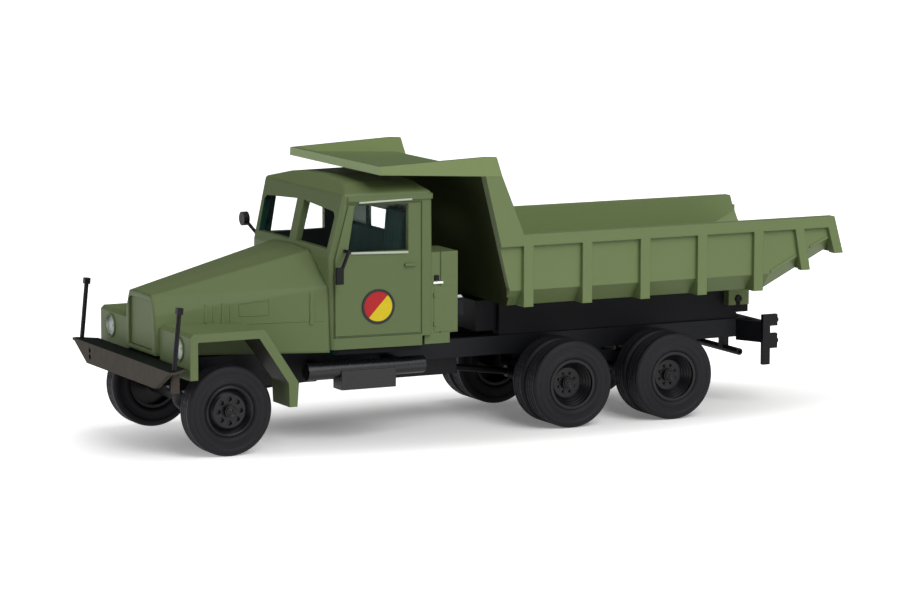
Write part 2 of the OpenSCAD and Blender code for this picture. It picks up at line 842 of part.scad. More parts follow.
module bonnet_form(inset, front_x) {
    hull() {
        along(front_x - sliver, front_x) bonnet_section(radiator_half, bonnet_front_flank_z,
            bonnet_front_crease, bonnet_top_z, bonnet_front_crown, inset);
        along(cowl_x, cowl_x + sliver) bonnet_section(bonnet_rear_half, bonnet_rear_flank_z,
            bonnet_rear_crease, bonnet_rear_top_z, bonnet_rear_crown, inset);
    }
}

// The panel in the bonnet's nose, with rounded upper corners
module grille_outline(margin) {
    half = radiator_half - grille_frame - margin;
    z1 = bonnet_top_z - grille_frame - margin;
    hull($fn = blend_fn) {
        for (side = [-1, 1]) {
            translate([side * (half - grille_corner_r), z1 - grille_corner_r]) circle(r = grille_corner_r);
            translate([side * half - (side > 0 ? sliver : 0), bonnet_base_z + grille_foot + margin])
                square([sliver, sliver]);
        }
    }
}

module bonnet() color(body_green) {
    difference() {
        bonnet_form(0, bonnet_x);
        difference() {
            bonnet_form(cab_wall, bonnet_x - cab_wall);
            box([bonnet_x - cab_wall, -wing_half, 0], [bonnet_x + overrun, wing_half, drip_z]);
        }
        box([cowl_x - overrun, -wing_half, bonnet_base_z - overrun],
            [bonnet_x - cab_wall, wing_half, bonnet_base_z + sliver]);
        along(bonnet_x - cab_wall - overrun, bonnet_x + overrun) grille_outline(0);
    }
}

// Plain panel set back in the nose
module radiator_panel() color(body_green)
    along(bonnet_x - grille_recess - grille_t, bonnet_x - grille_recess) grille_outline(seam);

// Bent sheet over the wheel, cut to the bonnet's flank and round the rail
module wing() {
    difference() {
        across(radiator_half, wing_half) polygon([
            [wing_front_x, wing_foot_z], [wing_front_x, wing_top_z - wing_corner],
            [wing_front_x - wing_corner, wing_top_z], [wing_top_rear_x + wing_corner, wing_top_z],
            [wing_top_rear_x, wing_top_z - wing_corner], [wing_slant_x, wing_slant_z],
            [wing_flap_x, wing_flap_z], [wing_flap_x + wing_sheet, wing_flap_z],
            [wing_slant_x + wing_slant_sheet, wing_slant_z],
            [wing_top_rear_x + wing_sheet, wing_top_z - wing_sheet],
            [wing_front_x - wing_sheet, wing_top_z - wing_sheet], [wing_front_x - wing_sheet, wing_foot_z]]);
        bonnet_form(-seam, bonnet_x);
        linear_extrude(bonnet_base_z + overrun) polygon([[bonnet_x, 0], [bonnet_x, flank_y(bonnet_x)],
            [cowl_x, flank_y(cowl_x)], [cowl_x, 0]]);
        box([wing_slant_x, 0, 0], [wing_front_x + overrun, rail_half + seam, rail_top_z + seam]);
        bar_x(wing_half - lamp_inset, lamp_z, lamp_r + seam, wing_front_x - wing_sheet - overrun,
            wing_front_x + overrun);
    }
}

function flank_y(x) = seam + flank_half(bonnet_rear_half, bonnet_rear_flank_z) + (x - cowl_x)
    * (flank_half(radiator_half, bonnet_front_flank_z) - flank_half(bonnet_rear_half, bonnet_rear_flank_z))
    / (bonnet_x - cowl_x);

module wing_left() color(body_green) wing();

module wing_right() color(body_green) mirror([0, 1, 0]) wing();

// Lamp bodies in the wings, each with a domed lens
module headlamps() color("silver") pair()
    translate([wing_front_x, wing_half - lamp_inset, lamp_z]) rotate([0, 90, 0]) {
    translate([0, 0, -lamp_depth]) cylinder(r = lamp_r, h = lamp_depth);
    intersection() {
        cylinder(r = lamp_r, h = lamp_lens);
        translate([0, 0, lamp_lens - lamp_lens_r]) sphere(r = lamp_lens_r);
    }
}

// Rod from one point to another
module rod(from, to, r) {
    run = to - from;
    length = norm(run);
    translate(from) rotate([0, acos(run[2] / length), atan2(run[1], run[0])]) cylinder(r = r, h = length);
}

// Flat mirror hung beside the left door on a bent stalk
module mirror_left() color(chassis_black) {
    elbow = [cowl_x - mirror_elbow_back, cab_half_front + mirror_reach, cowl_z + mirror_elbow_rise];
    head = elbow + [mirror_lean, mirror_plate_t, -mirror_drop];
    difference() {
        union() {
            bar_y(elbow[0], elbow[2], mirror_stalk_r, cab_half_front - cab_wall, elbow[1] + mirror_stalk_r);
            rod(elbow, head, mirror_stalk_r);
            translate(head - [mirror_plate_w, mirror_plate_t, mirror_plate_h] / 2)
                cube([mirror_plate_w, mirror_plate_t, mirror_plate_h]);
        }
        cab_form(-seam, sill_z);
    }
}

// Round mirror held up on a stalk at the right corner
module mirror_right() color(chassis_black) mirror([0, 1, 0]) {
    head = [cowl_x + mirror_swing, cab_half_front + mirror_reach, cowl_z + mirror_rise];
    difference() {
        union() {
            rod([cowl_x - cab_corner_r, cab_half_front - cab_corner_r, cowl_z], head, mirror_stalk_r);
            translate(head - [mirror_head_t / 2, 0, 0]) rotate([0, 90, 0])
                cylinder(r = mirror_head_r, h = mirror_head_t);
        }
        cab_form(-seam, sill_z);
        bonnet_form(-seam, bonnet_x);
    }
}

// Tool locker behind the cab, on a step beside the rail
module locker() color(body_green) {
    x1 = cab_rear_x;
    x0 = x1 - locker_l;
    z0 = sill_z + locker_low;
    difference() {
        box([x0, locker_half - locker_depth, z0], [x1, locker_half, z0 + locker_h]);
        groove_x = x0 + locker_groove_share * locker_l;
        box([groove_x, locker_half - locker_groove / 2, z0 - overrun],
            [groove_x + locker_groove, locker_half + overrun, z0 + locker_h + overrun]);
    }
    box([x1 - locker_step_l, rail_half - rail_flange, sill_z], [x1, locker_half, z0]);
    box([x1, rail_half - rail_flange, sill_z],
        [x1 + locker_toe_l, locker_half, sill_z + sill_notch_h - seam]);
    box([x1 - locker_step_l, rail_half - rail_flange, rail_top_z], [x1, rail_half, sill_z]);
}

// Long silencer under the cab with a deeper case, hung from the rail
module silencer() color(chassis_black) {
    x0 = cab_rear_x;
    x1 = x0 + silencer_l;
    z = rail_top_z - silencer_drop;
    middle = x0 + silencer_l / 2;
    bar_x(silencer_y, z, silencer_r, x0, x1);
    box([middle - silencer_case_l / 2, silencer_y - silencer_case_half, z - silencer_case_drop],
        [middle + silencer_case_l / 2, silencer_y + silencer_case_half, z]);
    for (share = hanger_shares) {
        x = x0 + share * silencer_l;
        box([x, rail_half, z], [x + hanger_l, silencer_y, z + hanger_h]);
    }
}

// Fuel tank on the right rail
module fuel_tank() color(chassis_black) {
    x0 = gearbox_x - tank_l / 2;
    y1 = -rail_half;
    along(x0, x0 + tank_l) hull($fn = blend_fn) for (y = [y1 - tank_w + tank_corner_r, y1 - tank_corner_r])
        for (z = [rail_top_z - tank_h + tank_corner_r, rail_top_z - tank_corner_r])
            translate([y, z]) circle(r = tank_corner_r);
}

// Beam across the rails' ends with a lamp post at each end
module rear_crossbeam() color(chassis_black) {
    x1 = beam_x;
    x0 = x1 - beam_t;
    z1 = rail_top_z - beam_drop;
    z0 = z1 - beam_h;
    box([x0, -beam_half, z0], [x1, beam_half, z1]);
    pair() {
        box([x0, beam_half - post_t, z0 - post_drop], [x1, beam_half, z0]);
        box([x0 - lamp_knob_l, beam_half - post_t, z1 + lamp_knob_rise - lamp_knob_h],
            [x1, beam_half, z1 + lamp_knob_rise]);
        box([x0 - lamp_knob_l, beam_half - post_t, z1 - low_knob_drop],
            [x1, beam_half, z1 - low_knob_drop + low_knob_h]);
        translate([0, 0, z0]) linear_extrude(z1 - z0) polygon([[x1, beam_half - post_t],
            [x1 - beam_t / 2, beam_half - post_t], [x1 - beam_t / 2, beam_half - post_t - stay_t],
            [x1, beam_half - post_t - stay_t], [x1 + stay_run - stay_t, rail_half],
            [x1 + stay_run, rail_half]]);
    }
}

// Lamp glasses on the posts' rear knobs
module tail_lamps() color("darkred") pair() {
    x = beam_x - beam_t - lamp_knob_l;
    z1 = rail_top_z - beam_drop;
    for (z = [z1 + lamp_knob_rise - lamp_knob_h / 2, z1 - low_knob_drop + low_knob_h / 2])
        bar_x(beam_half - post_t / 2, z, post_t / 2, x - tail_lamp_t, x);
}

// Pipe turned out behind the last axle
module tailpipe() color(chassis_black) {
    x = hinge_x + tailpipe_back;
    difference() {
        bar_y(x, tailpipe_z, tailpipe_r, -rail_half + rail_flange, tailpipe_y);
        bar_y(x, tailpipe_z, tailpipe_r / 2, rail_half, tailpipe_y + overrun);
    }
    box([x - tailpipe_r, rail_half - rail_flange, tailpipe_z], [x + tailpipe_r, rail_half, rail_z]);
}

// Coupling jaw in the middle of the crossbeam
module tow_coupling() color(chassis_black) {
    x1 = beam_x - beam_t;
    z0 = rail_top_z - beam_drop - beam_h / 2 - coupling_t / 2;
    translate([0, 0, z0]) difference() {
        union() {
            translate([x1 - coupling_l, -coupling_r, 0]) cube([coupling_l, 2 * coupling_r, coupling_t]);
            translate([x1 - coupling_l, 0, 0]) cylinder(r = coupling_r, h = coupling_t);
        }
        translate([x1 - coupling_l, 0, -overrun])
            cylinder(r = coupling_bore_r, h = coupling_t + 2 * overrun);
    }
}

// Axle shaft between the hubs
module shaft(x, half) {
    bar_y(x, axle_z, shaft_r, -half, half);
}

// Half section of a tyre with round shoulders and beads, its width along the second axis
module tyre_section() {
    r = tyre_shoulder_r;
    bead = tyre_bead_r;
    tread = wheel_d / 2;
    translate([rim_r + bead, 0]) square([tread - rim_r - bead - r, tyre_w]);
    translate([rim_r + bead, r]) square([tread - rim_r - bead, tyre_w - 2 * r]);
    translate([rim_r, bead]) square([bead, tyre_w - 2 * bead]);
    for (y = [r, tyre_w - r]) translate([tread - r, y]) circle(r = r);
    for (y = [bead, tyre_w - bead]) translate([rim_r + bead, y]) circle(r = bead);
}

// Tyre whose outer face lies at a place on the left
module tyre(x, outer_y) {
    translate([x, outer_y - tyre_w, axle_z]) rotate([-90, 0, 0]) rotate_extrude() tyre_section();
}

// Front wheel: barrel, raised disc with a ring of holes, and hub
module front_rim() {
    seat = rim_r - rim_gap;
    face = tyre_w - rim_recess;
    translate([front_axle_x, front_track_half - tyre_w, axle_z]) rotate([-90, 0, 0]) difference() {
        union() {
            rotate_extrude() polygon([[shaft_r + rim_gap, 0], [hub_r, 0], [hub_r, face - 2 * disc_t],
                [seat - rim_barrel_t, face - 2 * disc_t], [seat - rim_barrel_t, rim_lip], [seat, rim_lip],
                [seat, tyre_w - rim_lip], [seat - rim_barrel_t, tyre_w - rim_lip],
                [seat - rim_barrel_t, face - disc_t], [disc_crown_r, face - disc_t + disc_crown],
                [shaft_r + rim_gap, face - disc_t + disc_crown]]);
            translate([0, 0, face - disc_t]) cylinder(r = hub_r, h = hub_l + disc_crown);
        }
        for (i = [0 : disc_hole_count - 1]) rotate([0, 0, i * 360 / disc_hole_count])
            translate([disc_hole_ring_r, 0, face - disc_t + disc_crown - disc_hole_d])
                cylinder(r = disc_hole_r, h = disc_hole_d + overrun);
        translate([0, 0, -overrun]) cylinder(r = shaft_r + rim_gap, h = face);
    }
}

// Twin rear wheel: one barrel through both tyres and a deep dished disc
module rear_rim(x) {
    seat = rim_r - rim_gap;
    w = 2 * tyre_w + twin_gap;
    disc = w - twin_dish;
    translate([x, rear_track_half - w, axle_z]) rotate([-90, 0, 0]) difference() {
        union() {
            rotate_extrude() polygon([[shaft_r + rim_gap, 0], [hub_r, 0], [hub_r, disc - disc_t],
                [seat - rim_barrel_t, disc - disc_t], [seat - rim_barrel_t, rim_lip], [seat, rim_lip],
                [seat, w - rim_lip], [seat - rim_barrel_t, w - rim_lip], [seat - rim_barrel_t, disc],
                [shaft_r + rim_gap, disc]]);
            translate([0, 0, disc - disc_t]) cylinder(r = hub_r, h = disc_t + hub_l);
        }
        translate([0, 0, -overrun]) cylinder(r = shaft_r + rim_gap, h = disc);
    }
}

front_shaft_half = front_track_half - rim_recess - disc_t;
rear_shaft_half = rear_track_half - twin_dish - disc_t;

module front_shaft() color("silver") shaft(front_axle_x, front_shaft_half - seam);

module front_tyres() color(chassis_black) pair() tyre(front_axle_x, front_track_half);

module front_rims() color(chassis_black) pair() front_rim();

module rear_shaft(i) color("silver") shaft(rear_axles[i], rear_shaft_half - seam);

module rear_tyres(i) color(chassis_black) pair() for (inner = [0, 1])
    tyre(rear_axles[i], rear_track_half - inner * (tyre_w + twin_gap));

module rear_rims(i) color(chassis_black) pair() rear_rim(rear_axles[i]);

// Level floor that kicks up at the tail
module bed_floor() color(body_green) {
    rise = ramp(tail_floor_x);
    across(-floor_half, floor_half) polygon([
        [wall_x(bed_z) - wall_run, bed_z], [wall_x(bed_z + bed_wall) - wall_run, bed_z + bed_wall],
        [kink_x, bed_z + bed_wall], [tail_floor_x, bed_z + bed_wall + rise],
        [tail_floor_x, tail_foot_z + gusset_let], [tail_floor_x + tail_lip_l, tail_foot_z + gusset_let],
        [tail_floor_x + tail_lip_l, bed_z + ramp(tail_floor_x + tail_lip_l)], [kink_x, bed_z]]);
}

// Sloped panel section between the floor and the fold, lapping up the panel
module fold_section() {
    polygon([[panel_out, fold_z], [panel_out, fold_z + bed_wall], [panel_in, fold_z + bed_wall],
        [panel_in, fold_z], [floor_half, bed_z + bed_wall], [floor_half, bed_z]]);
}

// Side panel outline from the fold up, with the strip along the front wall
module side_outline() {
    polygon([[wall_x(panel_foot_z), panel_foot_z], [kink_x, panel_foot_z],
        [tail_edge_x(panel_end_z()) + tail_flange_w / 2, panel_end_z()],
        [tail_top_x + tail_flange_w / 2, rim_top_z], [wall_x(rim_top_z) - strip_low_w, rim_top_z],
        [guard_x - strip_top_w, wall_top_z - strip_top_w * tan(guard_pitch)], [guard_x, wall_top_z]]);
}

// Raised rim, front strip and leaning tail rib on the panel
module side_frame() {
    polygon([[wall_x(rim_low_z), rim_low_z], [tail_edge_x(rim_low_z) + tail_flange_w / 2, rim_low_z],
        [tail_top_x + tail_flange_w / 2, rim_top_z], [wall_x(rim_top_z) - strip_low_w, rim_top_z],
        [guard_x - strip_top_w, wall_top_z - strip_top_w * tan(guard_pitch)], [guard_x, wall_top_z]]);
    polygon([[tail_rib_x, rim_mid_z], [tail_rib_x + tail_flange_w, rim_mid_z],
        [tail_rib_x + tail_flange_w - tail_rib_lean, tail_rib_z], [tail_rib_x - tail_rib_lean, tail_rib_z]]);
}

// Flange down the leaning rear edge
module tail_flange() {
    polygon([[tail_x, tail_foot_z], [tail_x + tail_flange_w, tail_foot_z],
        [tail_top_x + tail_flange_w, rim_top_z], [tail_top_x, rim_top_z]]);
}

// Rib section with its gusset under the fold
module rib_section() {
    polygon([[panel_mid, rim_low_z], [bed_half, rim_low_z], [bed_half, bed_z], [floor_half, bed_z],
        [panel_mid, fold_z]]);
}

// Gusset under the rising fold at a station down to a foot, its top let into the fold
module tail_gusset(rear_x, length, foot_z, inner_y) {
    rise = ramp(rear_x) + gusset_let;
    along(rear_x, rear_x + length) polygon([[panel_mid, fold_z + rise], [panel_mid, foot_z + gusset_let],
        [inner_y, foot_z + gusset_let], [inner_y, bed_z + rise]]);
}

// Sloped panel under the fold of the kicked-up tail
module tail_fold() {
    translate([kink_x, 0, 0]) multmatrix([[1, 0, 0, 0], [0, 1, 0, 0], [-tan(tail_angle), 0, 1, 0]])
        along(tail_floor_x - kink_x, 0) fold_section();
}

module bed_side() {
    difference() {
        union() {
            across(panel_in, panel_out) side_outline();
            across(panel_mid, bed_half) side_frame();
            across(panel_in, bed_half) tail_flange();
            along(kink_x, wall_x(fold_z)) fold_section();
            tail_fold();
            tail_gusset(tail_rib_x - tail_rib_lean + gusset_inset, tail_flange_w - 2 * gusset_inset,
                tail_rib_z, floor_half + gusset_inset);
            tail_gusset(tail_floor_x + gusset_let, tail_lip_l - gusset_let, tail_foot_z, floor_half);
            for (i = [0 : rib_count - 1]) {
                x = rib_last_x + i * rib_pitch;
                along(x - rib_w / 2, x + rib_w / 2) rib_section();
            }
        }
        across(-bed_half, panel_in) polygon([[wall_x(bed_z - overrun) - wall_run, bed_z - overrun],
            [wall_x(wall_top_z) - wall_run, wall_top_z], [wall_x(wall_top_z) + wall_run, wall_top_z],
            [wall_x(bed_z - overrun) + 2 * wall_run, bed_z - overrun]]);
    }
}

module bed_side_left() color(body_green) bed_side();

module bed_side_right() color(body_green) mirror([0, 1, 0]) bed_side();

// Leaning plate between the sides, trimmed to the trough's section
module bed_front_wall() color(body_green) intersection() {
    across(-panel_in, panel_in) polygon([[wall_x(bed_z), bed_z], [wall_x(bed_z) - wall_run, bed_z],
        [wall_x(wall_top_z) - wall_run, wall_top_z - wall_run * tan(guard_pitch)], [guard_x, wall_top_z]]);
    along(hinge_x, guard_x + overrun) polygon([[-floor_half, bed_z], [floor_half, bed_z],
        [panel_out, fold_z], [panel_out, rim_top_z + wall_h], [-panel_out, rim_top_z + wall_h],
        [-panel_out, fold_z]]);
}

// Shallow tray over the cab roof, with flanges that fall towards its front lip
module guard_outline(half, front_half, front_x, rear_x) {
    polygon([[rear_x, half], [0, half], [front_x, front_half], [front_x, -front_half], [0, -half],
        [rear_x, -half]]);
}

module cab_guard() color(body_green) translate([guard_x, 0, wall_top_z]) rotate([0, -guard_pitch, 0])
    difference() {
        inner_half = bed_half - guard_wall;
        top = guard_flange_h + overrun;
        linear_extrude(guard_flange_h) guard_outline(bed_half, guard_half_front, guard_l, -guard_tail_low);
        translate([0, 0, guard_floor_t]) linear_extrude(guard_flange_h)
            guard_outline(inner_half, guard_half_front - guard_wall, guard_l - guard_wall,
                -guard_tail_low - overrun);
        across(-bed_half - overrun, bed_half + overrun) {
            polygon([[0, guard_flange_h], [guard_l, guard_lip_h], [guard_l + overrun, guard_lip_h],
                [guard_l + overrun, top], [0, top]]);
            polygon([[-guard_tail_low, 0], [-guard_tail_high, guard_flange_h], [-guard_tail_high, top],
                [-guard_tail_low - overrun, top], [-guard_tail_low - overrun, 0]]);
        }
        box([-guard_tail_low - overrun, -inner_half, -overrun], [-wall_run, inner_half, guard_flange_h]);
    }

// Clips under the bed that snap over the hinge pins from above
module bed_hinge() color(body_green) pair() difference() {
    across(clip_y, clip_y + clip_w) difference() {
        translate([hinge_x - clip_back, hinge_z - clip_drop])
            square([clip_back + clip_front, bed_z - hinge_z + clip_drop]);
        translate([hinge_x - clip_slot / 2, hinge_z - clip_drop - overrun])
            square([clip_slot, clip_drop + overrun]);
    }
    bar_y(hinge_x, hinge_z, hinge_pin_r + running_fit, clip_y - overrun, clip_y + clip_w + overrun);
}

chassis_rails();
front_springs();
bogie_springs();
front_axle_housing();
rear_axle_housing(0);  // rear_axle_housing_1
rear_axle_housing(1);  // rear_axle_housing_2
driveline();
tipper_subframe();
front_bumper();
marker_rods();
cab_shell();
bonnet();
radiator_panel();
wing_left();
wing_right();
headlamps();
windscreen_glass();
door_glass();
rear_glass();
cab_interior();
steering_wheel();
mirror_left();
mirror_right();
locker();
silencer();
fuel_tank();
rear_crossbeam();
tail_lamps();
tailpipe();
tow_coupling();
front_shaft();
front_tyres();
front_rims();
rear_shaft(0);  // rear_shaft_1
rear_tyres(0);  // rear_tyres_1
rear_rims(0);  // rear_rims_1
rear_shaft(1);  // rear_shaft_2
rear_tyres(1);  // rear_tyres_2
rear_rims(1);  // rear_rims_2
bed_floor();
bed_side_left();
bed_side_right();
bed_front_wall();
cab_guard();
bed_hinge();
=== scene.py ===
import json
import math

import bpy
import bmesh
from mathutils import Matrix, Vector


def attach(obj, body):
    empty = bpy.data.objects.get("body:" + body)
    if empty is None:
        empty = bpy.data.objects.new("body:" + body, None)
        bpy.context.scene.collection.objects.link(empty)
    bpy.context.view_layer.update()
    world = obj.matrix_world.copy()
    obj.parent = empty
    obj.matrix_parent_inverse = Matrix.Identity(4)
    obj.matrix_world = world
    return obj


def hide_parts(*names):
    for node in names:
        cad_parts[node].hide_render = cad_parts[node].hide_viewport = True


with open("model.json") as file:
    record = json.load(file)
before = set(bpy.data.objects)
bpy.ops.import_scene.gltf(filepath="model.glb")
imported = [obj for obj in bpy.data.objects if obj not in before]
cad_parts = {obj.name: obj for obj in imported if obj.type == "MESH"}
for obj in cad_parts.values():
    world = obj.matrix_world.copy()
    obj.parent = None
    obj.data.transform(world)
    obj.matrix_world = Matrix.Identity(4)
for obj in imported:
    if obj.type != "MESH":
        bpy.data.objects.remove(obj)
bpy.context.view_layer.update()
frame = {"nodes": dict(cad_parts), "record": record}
nodes = frame["nodes"]
mm = 0.001  # every size below is in millimetres on the model
print("frame loaded:", len(nodes), "nodes")

# sockets of the colour mix and the map range, by number because their names repeat
mixA, mixB, mixColour = 6, 7, 2
fromLow, fromHigh, toLow, toHigh = 1, 2, 3, 4
pureWhite = (1, 1, 1, 1)


def linear(hexColour):
    # sRGB hex to the linear values that the shaders take
    parts = [int(hexColour[i:i + 2], 16) / 255 for i in (1, 3, 5)]
    return [c / 12.92 if c <= 0.04045 else ((c + 0.055) / 1.055) ** 2.4 for c in parts] + [1.0]


def addNode(tree, kind, settings=None, links=None):
    # one node with its settings; a number key sets an input, a word key a property or a named input
    node = tree.nodes.new(kind)
    for key, value in (settings or {}).items():
        if isinstance(key, int) or key in node.inputs:
            node.inputs[key].default_value = value
        else:
            setattr(node, key, value)
    for key, socket in (links or {}).items():
        tree.links.new(socket, node.inputs[key])
    return node


def newMaterial(name):
    material = bpy.data.materials.new(name)
    material.use_nodes = True
    tree = material.node_tree
    return material, tree, tree.nodes["Principled BSDF"]


# camera, from a fit of the photograph's edges
camera = {"lens": 163.44, "sensor": 36, "target": (2.17, 0.0, 14.0), "place": (214.25, 423.33, 80.88),
          "roll": 0.12, "near": 10, "far": 20000}


def makeCamera():
    data = bpy.data.cameras.new("photoCamera")
    data.sensor_width = camera["sensor"]
    data.lens = camera["lens"]
    data.clip_start = camera["near"] * mm
    data.clip_end = camera["far"] * mm
    obj = bpy.data.objects.new("photoCamera", data)
    place = Vector(camera["place"]) * mm
    aim = (Vector(camera["target"]) * mm - place).to_track_quat("-Z", "Y")
    roll = Matrix.Rotation(math.radians(camera["roll"]), 4, "Z")
    obj.matrix_world = Matrix.Translation(place) @ aim.to_matrix().to_4x4() @ roll
    bpy.context.scene.collection.objects.link(obj)
    bpy.context.scene.camera = obj


makeCamera()
print("camera placed")

# pale sweep and soft studio light
studio = {"floorSize": 8000, "floorWhite": "#FFFFFF", "floorBounce": "#B4B4B4", "nearGlow": 0.15, "farGlow": 0.8,
          "glowCentre": (-2, 4, 0), "glowHalf": (47, 15, 1), "nearShare": 0.6, "farShare": 1.7, "world": 0.1,
          "lampAim": (0, 0, 12)}
lamps = [
    # name, place in mm, size in mm, watts
    ("keyLight", (-60, 480, 430), 420, 2.5),
    ("topLight", (-220, 60, 600), 500, 0.8),
    ("frontLight", (620, -60, 110), 420, 1.25),
    ("sideLight", (-140, 640, 130), 300, 0.5),
    ("rearLight", (-560, -240, 380), 420, 0.5),
]


def sweepMaterial():
    material, tree, shader = newMaterial("paleStudioSweep")
    shader.inputs["Roughness"].default_value = 1.0
    shader.inputs["Specular IOR Level"].default_value = 0.0
    path = addNode(tree, "ShaderNodeLightPath")
    seen = addNode(tree, "ShaderNodeMath", {"operation": "MAXIMUM"},
                   {0: path.outputs["Is Camera Ray"], 1: path.outputs["Is Glossy Ray"]})
    seen = addNode(tree, "ShaderNodeMath", {"operation": "MAXIMUM"},
                   {0: seen.outputs[0], 1: path.outputs["Is Transmission Ray"]})
    # white to the eye, darker to the light it throws back up
    paint = addNode(tree, "ShaderNodeMix", {
        "data_type": "RGBA", mixA: linear(studio["floorBounce"]), mixB: linear(studio["floorWhite"])},
        {0: seen.outputs[0]})
    tree.links.new(paint.outputs[mixColour], shader.inputs["Base Color"])
    # the sweep whitens outside an ellipse round the model, so that only its soft shadow is left on it
    place = addNode(tree, "ShaderNodeTexCoord").outputs["Object"]
    place = addNode(tree, "ShaderNodeVectorMath", {
        "operation": "SUBTRACT", 1: Vector(studio["glowCentre"]) * mm}, {0: place})
    place = addNode(tree, "ShaderNodeVectorMath", {
        "operation": "DIVIDE", 1: Vector(studio["glowHalf"]) * mm}, {0: place.outputs[0]})
    away = addNode(tree, "ShaderNodeVectorMath", {"operation": "LENGTH"}, {0: place.outputs[0]})
    glow = addNode(tree, "ShaderNodeMapRange", {
        "interpolation_type": "SMOOTHSTEP", fromLow: studio["nearShare"], fromHigh: studio["farShare"],
        toLow: studio["nearGlow"], toHigh: studio["farGlow"]}, {0: away.outputs["Value"]})
    share = addNode(tree, "ShaderNodeMath", {"operation": "MULTIPLY"}, {0: seen.outputs[0], 1: glow.outputs[0]})
    shader.inputs["Emission Color"].default_value = pureWhite
    tree.links.new(share.outputs[0], shader.inputs["Emission Strength"])
    return material


def makeStudio():
    bpy.ops.mesh.primitive_plane_add(size=studio["floorSize"] * mm, location=(0, 0, 0))
    floor = bpy.context.object
    floor.name = "studioFloor"
    floor.data.materials.append(sweepMaterial())
    world = bpy.data.worlds.new("studioWorld")
    bpy.context.scene.world = world
    world.use_nodes = True
    world.node_tree.nodes["Background"].inputs["Color"].default_value = pureWhite
    world.node_tree.nodes["Background"].inputs["Strength"].default_value = studio["world"]
    for name, place, size, watts in lamps:
        data = bpy.data.lights.new(name, "AREA")
        data.energy = watts
        data.size = size * mm
        light = bpy.data.objects.new(name, data)
        light.location = Vector(place) * mm
        aim = Vector(studio["lampAim"]) * mm - light.location
        light.rotation_euler = aim.to_track_quat("-Z", "Y").to_euler()
        bpy.context.scene.collection.objects.link(light)


makeStudio()
bpy.context.scene.view_settings.view_transform = "Standard"
print("studio lit")

# what all mouldings share: noise detail, grain height, edge samples, and how squarely a toned face looks its way
moulding = {"cloudDetail": 3.0, "grainDetail": 2.0, "grainHeight": 0.02, "edgeSamples": 4, "facing": 0.7}
# what drawn and plated metal share: noise detail, roughness from and to, relief
drawing = {"detail": 3.0, "smooth": 0.7, "rough": 1.3, "strength": 0.15, "height": 0.01}


def mouldedPlastic(name, look):
    # injection-moulded plastic: slow colour clouding, fine spark-eroded grain, softened edges
    material, tree, shader = newMaterial(name)
    texture = addNode(tree, "ShaderNodeTexCoord")
    coords = texture.outputs["Object"]
    cloud = addNode(tree, "ShaderNodeTexNoise", {
        "Scale": 1 / (look["cloudMm"] * mm), "Detail": moulding["cloudDetail"]}, {"Vector": coords})
    tone = addNode(tree, "ShaderNodeMix", {
        "data_type": "RGBA", mixA: linear(look["colour"]), mixB: linear(look["clouded"])},
        {0: cloud.outputs["Fac"]})
    for toward, colour in look.get("tones", []):
        # faces that look one way are in another tone: painted light or shade by facing
        facing = addNode(tree, "ShaderNodeVectorMath", {"operation": "DOT_PRODUCT", 1: toward},
                         {0: texture.outputs["Normal"]})
        share = addNode(tree, "ShaderNodeMath", {"operation": "GREATER_THAN", 1: moulding["facing"]},
                        {0: facing.outputs["Value"]})
        tone = addNode(tree, "ShaderNodeMix", {"data_type": "RGBA", mixB: linear(colour)},
                       {0: share.outputs[0], mixA: tone.outputs[mixColour]})
    grain = addNode(tree, "ShaderNodeTexNoise", {
        "Scale": 1 / (look["grainMm"] * mm), "Detail": moulding["grainDetail"]}, {"Vector": coords})
    sheen = addNode(tree, "ShaderNodeMapRange", {
        toLow: look["roughness"] - look["swing"], toHigh: look["roughness"] + look["swing"]},
        {0: grain.outputs["Fac"]})
    edge = addNode(tree, "ShaderNodeBevel", {"samples": moulding["edgeSamples"], "Radius": look["edgeMm"] * mm})
    bump = addNode(tree, "ShaderNodeBump", {
        "Strength": look["grainDepth"], "Distance": moulding["grainHeight"] * mm},
        {"Height": grain.outputs["Fac"], "Normal": edge.outputs[0]})
    shader.inputs["Specular IOR Level"].default_value = look["gloss"]
    for key, socket in (("Base Color", tone.outputs[mixColour]), ("Roughness", sheen.outputs[0]),
                        ("Normal", bump.outputs[0])):
        tree.links.new(socket, shader.inputs[key])
    return material


